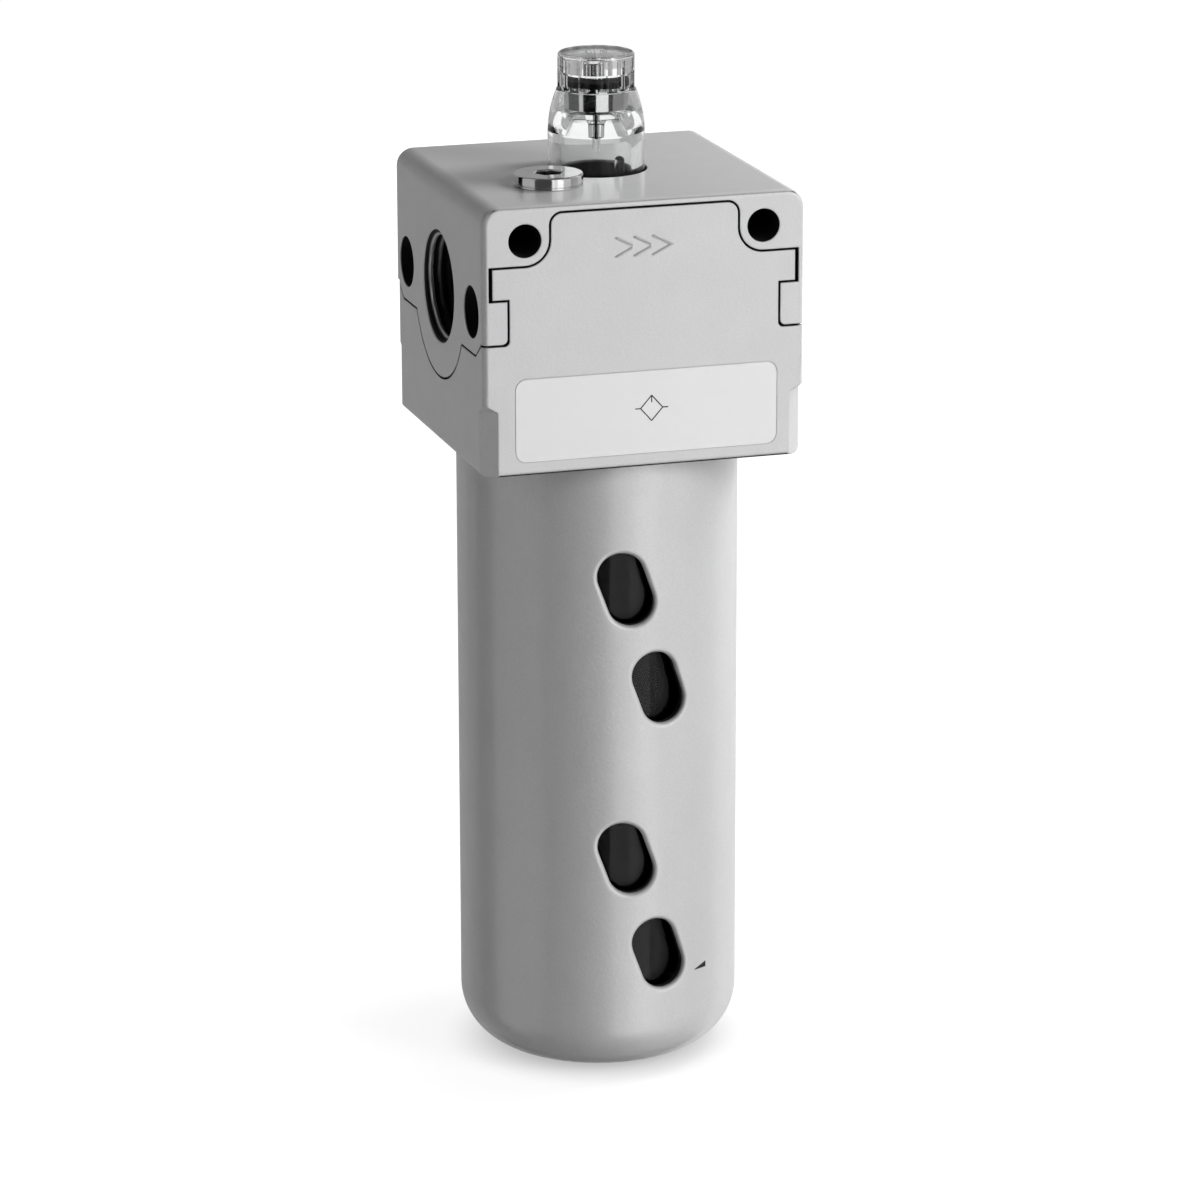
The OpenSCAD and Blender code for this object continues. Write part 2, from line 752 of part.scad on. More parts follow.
module manifold() {
  color([0.25, 0.25, 0.26]) difference() {
    union() {
      translate([0, 0, manifold_z]) cylinder(r = manifold_r, h = manifold_top - manifold_z);
      intersection() {
        translate([0, 0, barb_z]) cylinder(r = manifold_flange_r, h = manifold_flange_t);
        translate([-manifold_flange_w / 2, -manifold_flange_r, 0])
          cube([manifold_flange_w, 2 * manifold_flange_r, top_z]);
      }
    }
    intersection() {
      port_axis(1) cylinder(r = duct_r, h = head_w, center = true);
      translate([-head_w, -duct_r, 0]) cube([2 * head_w, 2 * duct_r, port_z + duct_roof]);
    }
    translate([0, 0, port_z + jet_z]) rotate([0, 90, 0])
      cylinder(r = jet_r + snug, h = head_w, center = true);
    translate([drip_x, 0, port_z + jet_z]) cylinder(r = riser_r, h = head_h);
    translate([0, 0, manifold_top - funnel_depth])
      cylinder(r1 = riser_r, r2 = funnel_r, h = funnel_depth + weld);
    translate([-flap_x, 0, port_z + flap_z]) rotate([90, 0, 0])
      cylinder(r = pin_r + snug, h = 2 * (pin_half + running), center = true);
    translate([0, riser_y, 0]) {
      translate([0, 0, barb_z - over]) cylinder(r = seat_r + snug, h = seat_top + running - barb_z + over);
      translate([0, 0, manifold_z]) cylinder(r = ball_r + ball_room, h = ball_room_top - manifold_z);
      cylinder(r = riser_r, h = top_z);
    }
    for (s = [-1, 1]) translate([0, s * manifold_screw_y, 0])
      cylinder(r = manifold_screw_r + face_gap, h = top_z);
    translate([0, 0, manifold_seal_z - face_gap]) difference() {
      cylinder(r = manifold_r + over, h = 2 * manifold_seal_r + 2 * face_gap);
      translate([0, 0, -over]) cylinder(r = manifold_r - 2 * manifold_seal_r, h = head_h);
    }
  }
}

module manifold_seal() {
  seal_ring(manifold_r - 2 * manifold_seal_r + snug, manifold_seal_r, manifold_seal_z);
}

module manifold_screws() {
  color([0.75, 0.75, 0.76]) for (s = [-1, 1]) translate([0, s * manifold_screw_y, barb_z]) difference() {
    union() {
      translate([0, 0, -screw_head_t]) cylinder(r = screw_head_r, h = screw_head_t);
      cylinder(r = manifold_screw_r, h = manifold_flange_t + manifold_screw_l);
    }
    translate([0, 0, -screw_head_t - over])
      cylinder(r = screw_key_r, h = over + screw_key_depth, $fn = 6);
  }
}

module venturi_jet() {
  color([0.75, 0.62, 0.35]) translate([0, 0, port_z + jet_z]) difference() {
    rotate([0, 90, 0]) cylinder(r = jet_r, h = 2 * jet_half, center = true);
    rotate([0, 90, 0]) cylinder(r = jet_bore_r, h = head_w, center = true);
    for (s = [0, 1]) mirror([s, 0, 0]) translate([jet_half - jet_cone_l, 0, 0]) rotate([0, 90, 0])
      cylinder(r1 = jet_bore_r, r2 = jet_r - jet_lip, h = jet_cone_l + weld);
    translate([drip_x, 0, 0]) cylinder(r = jet_bore_r / 2, h = head_h);
  }
}

// Disc that hangs from its pin in the air duct
module flow_flap() {
  color([0.15, 0.15, 0.16]) translate([-flap_x, 0, port_z]) difference() {
    union() {
      intersection() {
        rotate([0, 90, 0]) cylinder(r = flap_r, h = flap_t, center = true);
        translate([-over, -flap_r, -flap_r]) cube([2 * over, 2 * flap_r, flap_r + flap_z]);
      }
      translate([0, 0, flap_z]) rotate([90, 0, 0])
        cylinder(r = knuckle_r, h = 2 * knuckle_half, center = true);
    }
    translate([0, 0, flap_z]) rotate([90, 0, 0])
      cylinder(r = pin_r + running, h = 2 * pin_half, center = true);
  }
}

module flap_pin() {
  color([0.75, 0.75, 0.76]) translate([-flap_x, 0, port_z + flap_z])
    rotate([90, 0, 0]) cylinder(r = pin_r, h = 2 * pin_half, center = true);
}

// Seat of the check ball, with the spout that carries the siphon tube
module ball_seat() {
  color([0.75, 0.62, 0.35]) translate([0, riser_y, 0]) difference() {
    union() {
      translate([0, 0, barb_z]) cylinder(r = seat_r, h = seat_top - barb_z);
      translate([0, 0, barb_z - barb_l]) cylinder(r = barb_r, h = barb_l);
    }
    cylinder(r = seat_hole_r, h = top_z);
  }
}

module check_ball() {
  color([0.75, 0.75, 0.76]) translate([0, riser_y, ball_z]) sphere(ball_r);
}

module siphon_tube() {
  color([0.80, 0.82, 0.82]) translate([0, riser_y, tube_low_z]) difference() {
    cylinder(r = tube_r, h = barb_z - face_gap - tube_low_z);
    translate([0, 0, -over]) cylinder(r = tube_r - tube_wall, h = top_z);
  }
}

module suction_strainer() {
  color([0.72, 0.58, 0.36]) translate([0, riser_y, strainer_z]) rotate_extrude() difference() {
    cup_section(strainer_r, strainer_h, strainer_foot_r);
    translate([0, strainer_h / 2 - snug]) square([tube_r + snug, strainer_h]);
    translate([0, strainer_floor]) square([tube_r - tube_wall, strainer_h]);
  }
}

// Half section of the solid dome, with an arc from the shoulder up to the neck
module dome_section() {
  arc_r = (neck_z - shoulder_z) / sin(shoulder_tilt);
  flange_z = -dome_flange_drop;
  translate([0, flange_z]) square([dome_r, shoulder_z - flange_z]);
  intersection() {
    translate([0, shoulder_z - over / 2]) square([dome_r, neck_z - shoulder_z + over / 2]);
    translate([dome_r - arc_r, shoulder_z]) circle(arc_r);
  }
  translate([0, flange_z - dome_thread_l]) square([dome_thread_r, dome_thread_l + over]);
  translate([0, neck_z - over]) square([dome_neck_r, dome_h - neck_z + over - dome_rim_r]);
  translate([0, neck_z]) square([dome_neck_r - dome_rim_r, dome_h - neck_z]);
  translate([dome_neck_r - dome_rim_r, dome_h - dome_rim_r]) circle(dome_rim_r);
}

module sight_dome() {
  color([0.93, 0.95, 0.96, 0.35]) translate([0, 0, top_z]) {
    difference() {
      rotate_extrude() difference() {
        dome_section();
        translate([0, -head_h]) square([chamber_r, head_h + chamber_z]);
        polygon([
          [0, chamber_z - weld], [chamber_r, chamber_z - weld],
          [dome_bore_r, chamber_roof], [0, chamber_roof]
        ]);
        translate([0, chamber_z]) square([dome_bore_r, bore_top - chamber_z]);
        square([stem_r + running, dome_h + over]);
      }
      for (i = [0 : flutes - 1]) rotate([0, 0, flute_turn + i * 360 / flutes])
        translate([0, dome_neck_r - flute_depth + flute_r, flute_low])
          cylinder(r = flute_r, h = flute_high - flute_low);
    }
    oil_riser();
  }
}

// Round-ended riser moulded on the wall of the chamber
module oil_riser() {
  foot = dome_flange_drop + dome_thread_l;
  shank = foot + riser_end_z - riser_end_r;
  rotate([0, 0, riser_angle]) translate([chamber_r - riser_inset, 0, -foot]) rotate_extrude() {
    square([riser_end_r, shank]);
    intersection() {
      translate([0, shank]) circle(riser_end_r);
      square([riser_end_r, 2 * foot]);
    }
  }
}

module dome_seal() {
  seal_ring(dome_thread_r + 2 * snug, dome_seal_r - 2 * snug, dome_seat_z - 2 * dome_seal_r + snug);
}

// Clear insert under the regulating screw, with the tip that the drops fall from
module drip_nozzle() {
  rim_r = dome_bore_r - snug;
  color([0.93, 0.95, 0.96, 0.35]) translate([0, 0, top_z]) rotate_extrude() difference() {
    polygon([
      [0, nozzle_z], [0.7 * nozzle_r, nozzle_z], [nozzle_r, nozzle_z + 1.6], [nozzle_r, nozzle_top - 2],
      [1.5 * nozzle_r, nozzle_top - 1.3], [nozzle_disc_r, nozzle_top - 1],
      [rim_r - nozzle_rim, chamber_z + nozzle_rim], [rim_r, chamber_z + nozzle_rim], [rim_r, nozzle_top],
      [0, nozzle_top]
    ]);
    translate([0, nozzle_z - over]) square([needle_r + running, dome_h]);
  }
}

// Knurled body, slotted stem and pointed needle
module regulating_screw() {
  needle_low = screw_z - needle_l;
  color([0.75, 0.75, 0.76]) translate([0, 0, top_z]) difference() {
    rotate_extrude() {
      translate([0, screw_z]) square([screw_r, screw_l]);
      translate([0, screw_z + face_gap]) square([stem_r, stem_top - screw_z - face_gap]);
      translate([0, needle_low + needle_tip_l]) square([needle_r, needle_l]);
      polygon([
        [0, needle_low], [needle_tip_r, needle_low], [needle_r, needle_low + needle_tip_l + weld],
        [0, needle_low + needle_tip_l + weld]
      ]);
    }
    translate([-stem_r - over, -screw_slot_w / 2, stem_top - screw_slot_depth])
      cube([2 * (stem_r + over), screw_slot_w, screw_slot_depth + over]);
  }
}

// Ring that seals the regulating screw and rises with it
module screw_ring() {
  color([0.06, 0.06, 0.06]) translate([0, 0, top_z + screw_z + screw_l + running]) rotate_extrude()
    translate([stem_r + running, 0]) square([screw_r - stem_r - running, ring_t - running]);
}

// Filler plug with its hexagon socket
module filler_plug() {
  color([0.78, 0.78, 0.79]) translate([filler_x, filler_y, top_z + snug]) difference() {
    rotate_extrude() {
      square([plug_r - plug_edge, plug_h]);
      translate([0, plug_edge + plug_groove]) square([plug_r, plug_h - 2 * plug_edge - plug_groove]);
      square([plug_r, plug_edge]);
      square([plug_r - plug_groove, plug_h - plug_edge]);
      translate([plug_r - plug_edge, plug_h - plug_edge]) circle(plug_edge);
      translate([0, -shank_l]) square([shank_r - shank_edge, shank_l + plug_edge]);
      translate([0, shank_edge - shank_l]) square([shank_r, shank_l]);
    }
    translate([0, 0, plug_h - socket_depth])
      cylinder(r = socket_w / sqrt(3), h = socket_depth + over, $fn = 6);
  }
}

module filler_seal() {
  translate([filler_x, filler_y, 0])
    seal_ring(shank_r + running, plug_seal_r - snug, top_z - 2 * plug_seal_r);
}

upper_body();
lower_cover();
plain_label();
bowl_guard();
inner_bowl();
bowl_seal();
manifold();
manifold_seal();
manifold_screws();
venturi_jet();
flow_flap();
flap_pin();
ball_seat();
check_ball();
siphon_tube();
suction_strainer();
sight_dome();
dome_seal();
drip_nozzle();
regulating_screw();
screw_ring();
filler_plug();
filler_seal();
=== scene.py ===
"""Looks of an air line lubricator: painted head and bowl guard, clear dome and bowl, plated screws."""

import json
import math

import bmesh
import bpy
from mathutils import Matrix, Vector

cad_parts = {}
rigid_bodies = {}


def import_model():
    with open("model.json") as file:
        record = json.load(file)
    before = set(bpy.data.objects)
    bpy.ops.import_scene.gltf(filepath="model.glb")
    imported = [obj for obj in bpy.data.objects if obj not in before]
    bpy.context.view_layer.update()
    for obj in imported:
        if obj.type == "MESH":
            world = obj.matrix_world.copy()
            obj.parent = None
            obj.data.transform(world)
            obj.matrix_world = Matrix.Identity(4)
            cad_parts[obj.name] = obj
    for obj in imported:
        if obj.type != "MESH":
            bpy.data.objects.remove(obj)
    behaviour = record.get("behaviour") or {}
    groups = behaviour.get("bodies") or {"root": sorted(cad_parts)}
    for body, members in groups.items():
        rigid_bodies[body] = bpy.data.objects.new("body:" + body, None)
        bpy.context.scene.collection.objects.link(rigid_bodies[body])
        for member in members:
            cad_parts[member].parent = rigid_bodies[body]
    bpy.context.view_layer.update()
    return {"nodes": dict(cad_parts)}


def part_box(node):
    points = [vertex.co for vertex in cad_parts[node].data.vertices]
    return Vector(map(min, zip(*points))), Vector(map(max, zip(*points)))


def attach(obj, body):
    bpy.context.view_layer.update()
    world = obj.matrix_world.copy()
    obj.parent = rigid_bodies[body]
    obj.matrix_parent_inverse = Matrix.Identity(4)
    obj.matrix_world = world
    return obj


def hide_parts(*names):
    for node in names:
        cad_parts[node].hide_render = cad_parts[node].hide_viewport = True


for leftover in list(bpy.data.objects):
    bpy.data.objects.remove(leftover)

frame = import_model()
nodes = frame["nodes"]

MM = 0.001

# Faces of the head, in millimetres
HEAD_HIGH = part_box("upper_body")[1] / MM
HALF_W = HEAD_HIGH.x
HALF_D = HEAD_HIGH.y
TOP = HEAD_HIGH.z
PORT_DROP = 20
PORT_Z = TOP - PORT_DROP
COVER_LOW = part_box("lower_cover")[0].z / MM

# Bowl guard, in millimetres from the floor and the axis
GUARD_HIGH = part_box("bowl_guard")[1] / MM
GUARD_R = GUARD_HIGH.x
GUARD_TOP = GUARD_HIGH.z
GUARD_WALL = 2.4
GUARD_EDGE = 0.3
FOOT_R = 11
NECK_STEP = 0.8
GUARD_SHOULDER = COVER_LOW + 2.5
SLOT_R = 4.35
SLOT_HALF = 2.7
SLOT_LEAN = math.radians(20)
SLOT_TURN = 2
SLOT_SIDE = 7.2
SLOT_LOW_Z = 33.6
SLOT_PAIR_PITCH = 51.5
SLOT_STEP = 19.2
SLOT_LIP = 0.9
SLOT_INNER_LIP = 0.3


class Skin:
    """Points and faces of one piece in millimetres, with a mark from 0 to 1 on each point for the dark
    shade painted there.
    """

    def __init__(self):
        self.points = []
        self.marks = []
        self.faces = []

    def point(self, x, y, z, mark=0.0):
        self.points.append((x, y, z))
        self.marks.append(mark)
        return len(self.points) - 1

    def ring(self, radius, z, angles, mark=0.0):
        """One row of a turned piece. The radius may be a function of the angle, and 0 is one point."""
        if radius == 0:
            return [self.point(0, 0, z, mark)]
        row = []
        for a in angles:
            r = radius(a) if callable(radius) else radius
            row.append(self.point(r * math.cos(a), r * math.sin(a), z, mark))
        return row

    def band(self, low, high):
        """Faces between two closed rows, of which one may be a single point."""
        n = max(len(low), len(high))
        for i in range(n):
            j = (i + 1) % n
            if len(low) == 1:
                self.faces.append((low[0], high[i], high[j]))
            elif len(high) == 1:
                self.faces.append((low[i], high[0], low[j]))
            else:
                self.faces.append((low[i], low[j], high[j], high[i]))

    def bands(self, rows, closed=False):
        for low, high in zip(rows, rows[1:]):
            self.band(low, high)
        if closed:
            self.band(rows[-1], rows[0])

    def piece(self, name, body, material, stands_for=(), place=None, sharp=35):
        """The object made of this skin, riding on a body."""
        mesh = bpy.data.meshes.new(name)
        mesh.from_pydata([Vector(p) * MM for p in self.points], [], self.faces)
        attribute = mesh.attributes.new("inside", "FLOAT", "POINT")
        attribute.data.foreach_set("value", self.marks)
        if place:
            mesh.transform(place)
        work = bmesh.new()
        work.from_mesh(mesh)
        bmesh.ops.recalc_face_normals(work, faces=work.faces)
        work.to_mesh(mesh)
        work.free()
        mesh.shade_smooth()
        mesh.set_sharp_from_angle(angle=math.radians(sharp))
        made = bpy.data.objects.new(name, mesh)
        bpy.context.scene.collection.objects.link(made)
        mesh.materials.append(material)
        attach(made, body)
        if stands_for:
            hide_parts(*stands_for)
        return made


def turn(count, start=0.0):
    """Angles of the columns of a turned piece."""
    return [start + 2 * math.pi * i / count for i in range(count)]


def arc(cx, cz, r, start, end, steps):
    """Points of an arc in the section of a turned piece, angles in degrees from the radius."""
    found = []
    for i in range(steps + 1):
        a = math.radians(start + (end - start) * i / steps)
        found.append((cx + r * math.cos(a), cz + r * math.sin(a)))
    return found


def blend(a, b, t):
    return a + (b - a) * t


def ease(t):
    t = min(max(t, 0.0), 1.0)
    return t * t * (3 - 2 * t)


# Shader node groups

def new_group(name, inputs, outputs):
    """An empty shader node group with its sockets, and the nodes at its two ends."""
    group = bpy.data.node_groups.new(name, "ShaderNodeTree")
    for label, kind, value in inputs:
        socket = group.interface.new_socket(label, in_out="INPUT", socket_type=kind)
        socket.default_value = value
    for label, kind in outputs:
        group.interface.new_socket(label, in_out="OUTPUT", socket_type=kind)
    start = group.nodes.new("NodeGroupInput")
    end = group.nodes.new("NodeGroupOutput")
    return group, start, end


def math_node(tree, operation, a, b=None, clamp=False):
    """A math node fed by sockets or plain numbers."""
    node = tree.nodes.new("ShaderNodeMath")
    node.operation = operation
    node.use_clamp = clamp
    for i, value in enumerate((a, b)):
        if value is None:
            continue
        if isinstance(value, (int, float)):
            node.inputs[i].default_value = value
        else:
            tree.links.new(value, node.inputs[i])
    return node.outputs[0]


def ramp(tree, value, low, high, to_low=0.0, to_high=1.0):
    """A smooth step of a value from low to high."""
    node = tree.nodes.new("ShaderNodeMapRange")
    node.interpolation_type = "SMOOTHSTEP"
    node.inputs["From Min"].default_value = low
    node.inputs["From Max"].default_value = high
    node.inputs["To Min"].default_value = to_low
    node.inputs["To Max"].default_value = to_high
    tree.links.new(value, node.inputs["Value"])
    return node.outputs["Result"]


def beyond(tree, length, low, high):
    """0 where a length in metres is below low millimetres, and 1 where it is above high."""
    return ramp(tree, length, low * MM, high * MM)


def place_of(tree):
    """Sockets of the place on the surface, in metres: the vector, and x, y and z."""
    where = tree.nodes.new("ShaderNodeTexCoord").outputs["Object"]
    parts = tree.nodes.new("ShaderNodeSeparateXYZ")
    tree.links.new(where, parts.inputs[0])
    return where, parts.outputs[0], parts.outputs[1], parts.outputs[2]


def noise(tree, where, scale, detail=2.0, rough=0.5):
    node = tree.nodes.new("ShaderNodeTexNoise")
    if isinstance(scale, (int, float)):
        node.inputs["Scale"].default_value = scale
    else:
        tree.links.new(scale, node.inputs["Scale"])
    node.inputs["Detail"].default_value = detail
    node.inputs["Roughness"].default_value = rough
    tree.links.new(where, node.inputs["Vector"])
    return node.outputs["Fac"]


def make_orange_peel():
    """Height of the fine waves of a sprayed and baked paint."""
    group, start, end = new_group(
        "orange peel",
        [("Wave Scale", "NodeSocketFloat", 900.0), ("Grain Scale", "NodeSocketFloat", 4200.0),
         ("Grain Share", "NodeSocketFloat", 0.3)],
        [("Height", "NodeSocketFloat")],
    )
    where, _, _, _ = place_of(group)
    waves = noise(group, where, start.outputs["Wave Scale"], 1.0)
    grain = noise(group, where, start.outputs["Grain Scale"], 2.0)
    fine = math_node(group, "MULTIPLY", grain, start.outputs["Grain Share"])
    group.links.new(math_node(group, "ADD", waves, fine), end.inputs["Height"])
    return group


def make_mottle():
    """Soft uneven patches from 0 to 1, for colour and roughness that aren't quite even."""
    group, start, end = new_group(
        "mottle",
        [("Scale", "NodeSocketFloat", 60.0), ("Low", "NodeSocketFloat", 0.0),
         ("High", "NodeSocketFloat", 1.0)],
        [("Value", "NodeSocketFloat")],
    )
    where, _, _, _ = place_of(group)
    patches = ramp(group, noise(group, where, start.outputs["Scale"], 4.0, 0.6), 0.3, 0.7)
    spread = math_node(group, "SUBTRACT", start.outputs["High"], start.outputs["Low"])
    scaled = math_node(group, "MULTIPLY", patches, spread)
    group.links.new(math_node(group, "ADD", scaled, start.outputs["Low"]), end.inputs["Value"])
    return group


def make_head_inside():
    """1 in the head's bores, seams and rooms, painted dark as shade; 0 on its outer faces and rounded
    edges.

    Each pair of numbers is where a depth below the outer faces starts to count, and counts in full.
    """
    group, start, end = new_group(
        "inside of the head",
        [("Half Width", "NodeSocketFloat", HALF_W * MM), ("Half Depth", "NodeSocketFloat", HALF_D * MM),
         ("Top", "NodeSocketFloat", TOP * MM)],
        [("Inside", "NodeSocketFloat")],
    )
    _, x, y, z = place_of(group)
    deep_x = math_node(group, "SUBTRACT", start.outputs["Half Width"], math_node(group, "ABSOLUTE", x))
    deep_y = math_node(group, "SUBTRACT", start.outputs["Half Depth"], math_node(group, "ABSOLUTE", y))
    deep_z = math_node(group, "SUBTRACT", start.outputs["Top"], z)
    across = math_node(group, "ADD", deep_x, deep_y)
    upward = math_node(group, "ADD", deep_x, deep_z)
    inside = beyond(group, math_node(group, "MINIMUM", deep_x, deep_y), 0.1, 0.24)
    # Low on the cover, a wider band along the upright corners counts as outside
    above_cut = beyond(group, z, COVER_LOW + 14.5, COVER_LOW + 15.5)
    clear_of_cut = math_node(group, "MAXIMUM", above_cut, beyond(group, across, 3.0, 3.2))
    below_top = beyond(group, deep_z, 0.15, 0.6)
    off_corner = beyond(group, across, 1.45, 1.6)
    off_top_edge = beyond(group, upward, 2.3, 2.6)
    for mask in (below_top, off_corner, off_top_edge, clear_of_cut):
        inside = math_node(group, "MULTIPLY", inside, mask)
    group.links.new(inside, end.inputs["Inside"])
    return group


def make_turning_lines():
    """Height of the fine lines that a lathe leaves round a part, and a mask of their streaks."""
    group, start, end = new_group(
        "turning lines",
        [("Lines", "NodeSocketFloat", 9000.0)],
        [("Height", "NodeSocketFloat"), ("Streaks", "NodeSocketFloat")],
    )
    _, x, y, z = place_of(group)
    squeezed = group.nodes.new("ShaderNodeCombineXYZ")
    across = [math_node(group, "MULTIPLY", side, 0.02) for side in (x, y)]
    for i, value in enumerate((*across, z)):
        group.links.new(value, squeezed.inputs[i])
    lines = noise(group, squeezed.outputs[0], start.outputs["Lines"], 3.0, 0.7)
    group.links.new(lines, end.inputs["Height"])
    group.links.new(ramp(group, lines, 0.35, 0.65), end.inputs["Streaks"])
    return group


ORANGE_PEEL = make_orange_peel()
MOTTLE = make_mottle()
HEAD_INSIDE = make_head_inside()
TURNING_LINES = make_turning_lines()


# Materials

def new_material(name, **values):
    """A material with a Principled shader whose plain values are given by socket name."""
    material = bpy.data.materials.new(name)
    material.use_nodes = True
    tree = material.node_tree
    shader = tree.nodes["Principled BSDF"]
    for label, value in values.items():
        shader.inputs[label.replace("_", " ")].default_value = value
    return material, tree, shader


def use_group(tree, group, **values):
    node = tree.nodes.new("ShaderNodeGroup")
    node.node_tree = group
    for label, value in values.items():
        node.inputs[label.replace("_", " ")].default_value = value
    return node


def uneven(tree, scale, low=0.0, high=1.0):
    """Soft patches of values between low and high."""
    return use_group(tree, MOTTLE, Scale=scale, Low=low, High=high).outputs["Value"]


def scaled(colour, share):
    return tuple(c * share for c in colour)


def mix_colour(tree, factor, a, b):
    """Colour a where the factor is 0 and b where it is 1; each is a colour or a socket."""
    node = tree.nodes.new("ShaderNodeMix")
    node.data_type = "RGBA"
    for socket, value in ((node.inputs["Factor"], factor), (node.inputs[6], a), (node.inputs[7], b)):
        if isinstance(value, tuple):
            socket.default_value = (*value, 1.0)
        else:
            tree.links.new(value, socket)
    return node.outputs[2]


def bump(tree, shader, height, strength, distance, normal=None):
    node = tree.nodes.new("ShaderNodeBump")
    node.inputs["Strength"].default_value = strength
    node.inputs["Distance"].default_value = distance
    tree.links.new(height, node.inputs["Height"])
    if normal:
        tree.links.new(normal, node.inputs["Normal"])
    tree.links.new(node.outputs["Normal"], shader.inputs["Normal"])


def soft_edges(tree, radius):
    """The normal of edges that are rounded by this radius."""
    node = tree.nodes.new("ShaderNodeBevel")
    node.samples = 4
    node.inputs["Radius"].default_value = radius
    return node.outputs["Normal"]


PAINT_GREY = (0.60, 0.60, 0.605)
# Near-black painted as shade in bores, seams, hollows and the insides of pieces
PAINTED_SHADE_DARK = (0.012, 0.012, 0.012)
ARROW_GREY = (0.40, 0.40, 0.40)
PAINT_METAL = 0.28
PAINT_COAT = 0.6
INSIDE_ROUGH = 0.9
PAINT_EDGE = 0.38


def paint(name, colour, inside_of, edge=0.0, arrows=False):
    """Light grey sprayed paint with a satin sheen; inside_of gives the socket of where it is painted dark
    as shade.
    """
    material, tree, shader = new_material(
        name, Metallic=PAINT_METAL, Coat_Weight=PAINT_COAT, Coat_Roughness=0.12, IOR=1.5
    )
    shade = mix_colour(tree, uneven(tree, 70.0), colour, scaled(colour, 1.03))
    specks = uneven(tree, 3600.0, high=0.14)
    shade = mix_colour(tree, specks, shade, scaled(colour, 0.35))
    if arrows:
        # The raised flow arrows are painted a darker grey, as painted shade in place of the shading along
        # their thin raised lines
        _, _, y, _ = place_of(tree)
        proud = beyond(tree, math_node(tree, "ABSOLUTE", y), HALF_D + 0.03, HALF_D + 0.1)
        shade = mix_colour(tree, proud, shade, ARROW_GREY)
    # Where the mask is 1, shade is painted dark and the paint loses its metal and coat
    inside = inside_of(tree)
    tree.links.new(mix_colour(tree, inside, shade, PAINTED_SHADE_DARK), shader.inputs["Base Color"])
    rough = math_node(tree, "MULTIPLY", inside, INSIDE_ROUGH)
    rough = math_node(tree, "MAXIMUM", uneven(tree, 240.0, 0.36, 0.42), rough)
    tree.links.new(rough, shader.inputs["Roughness"])
    outside = math_node(tree, "SUBTRACT", 1.0, inside)
    tree.links.new(math_node(tree, "MULTIPLY", outside, PAINT_METAL), shader.inputs["Metallic"])
    tree.links.new(math_node(tree, "MULTIPLY", outside, PAINT_COAT), shader.inputs["Coat Weight"])
    peel = use_group(tree, ORANGE_PEEL, Wave_Scale=1500.0, Grain_Scale=4200.0, Grain_Share=0.5)
    normal = soft_edges(tree, edge * MM) if edge else None
    bump(tree, shader, peel.outputs["Height"], 0.42, 0.05 * MM, normal)
    return material


def head_inside(tree):
    """1 inside the head, where shade is painted dark, by the place."""
    return use_group(tree, HEAD_INSIDE).outputs["Inside"]


def marked_inside(tree):
    """The mark of a skin's points, 1 inside a piece where shade is painted dark."""
    node = tree.nodes.new("ShaderNodeAttribute")
    node.attribute_name = "inside"
    return node.outputs["Fac"]


CLEAR_IOR = 1.585
MATT_ROUGH = 0.42


def clear_plastic(name, tint, roughness, matt_above=None):
    """Clear moulded plastic with faint waves, matt above a height in millimetres if one is given."""
    material, tree, shader = new_material(
        name, Transmission_Weight=1.0, IOR=CLEAR_IOR, Roughness=roughness, Metallic=0.0,
        Specular_Tint=(0.3, 0.3, 0.3, 1.0),
    )
    if matt_above:
        _, _, _, z = place_of(tree)
        low, high = (matt_above - 0.05) * MM, matt_above * MM
        tree.links.new(ramp(tree, z, low, high, roughness, MATT_ROUGH), shader.inputs["Roughness"])
    shade = mix_colour(tree, uneven(tree, 90.0), tint, scaled(tint, 0.985))
    tree.links.new(shade, shader.inputs["Base Color"])
    waves = use_group(tree, ORANGE_PEEL, Wave_Scale=260.0, Grain_Scale=900.0, Grain_Share=0.1)
    bump(tree, shader, waves.outputs["Height"], 0.05, 0.02 * MM)
    return material


def leaning_back(tree, slope):
    """The normal of upright walls that seem to lean back by a slope, so that they mirror higher up."""
    _, _, _, z = place_of(tree)
    node = tree.nodes.new("ShaderNodeBump")
    node.inputs["Distance"].default_value = slope
    tree.links.new(math_node(tree, "MULTIPLY", z, -1.0), node.inputs["Height"])
    return node.outputs["Normal"]


def turned_metal(name, colour, low, high, lines=9000.0, depth=0.25, lean=0.0):
    """Turned and plated metal: fine lines round the axis, uneven gloss, painted dark shade where marked
    inside.
    """
    material, tree, shader = new_material(name, Metallic=1.0)
    marks = use_group(tree, TURNING_LINES, Lines=lines)
    shade = mix_colour(tree, marks.outputs["Streaks"], colour, scaled(colour, 0.9))
    # Points marked inside are painted dark as shade
    shade = mix_colour(tree, marked_inside(tree), shade, PAINTED_SHADE_DARK)
    tree.links.new(shade, shader.inputs["Base Color"])
    tree.links.new(uneven(tree, 500.0, low, high), shader.inputs["Roughness"])
    normal = leaning_back(tree, lean) if lean else None
    bump(tree, shader, marks.outputs["Height"], depth, 0.01 * MM, normal)
    return material


def moulded(name, colour, low, high, grain=3000.0, depth=0.2, paler=1.15, **values):
    """Moulded plastic or rubber with a fine skin, its roughness between low and high."""
    material, tree, shader = new_material(name, **values)
    shade = mix_colour(tree, uneven(tree, 200.0), colour, scaled(colour, paler))
    tree.links.new(shade, shader.inputs["Base Color"])
    tree.links.new(uneven(tree, 350.0, low, high), shader.inputs["Roughness"])
    peel = use_group(tree, ORANGE_PEEL, Wave_Scale=grain * 0.4, Grain_Scale=grain, Grain_Share=0.6)
    bump(tree, shader, peel.outputs["Height"], depth, 0.03 * MM)
    return material


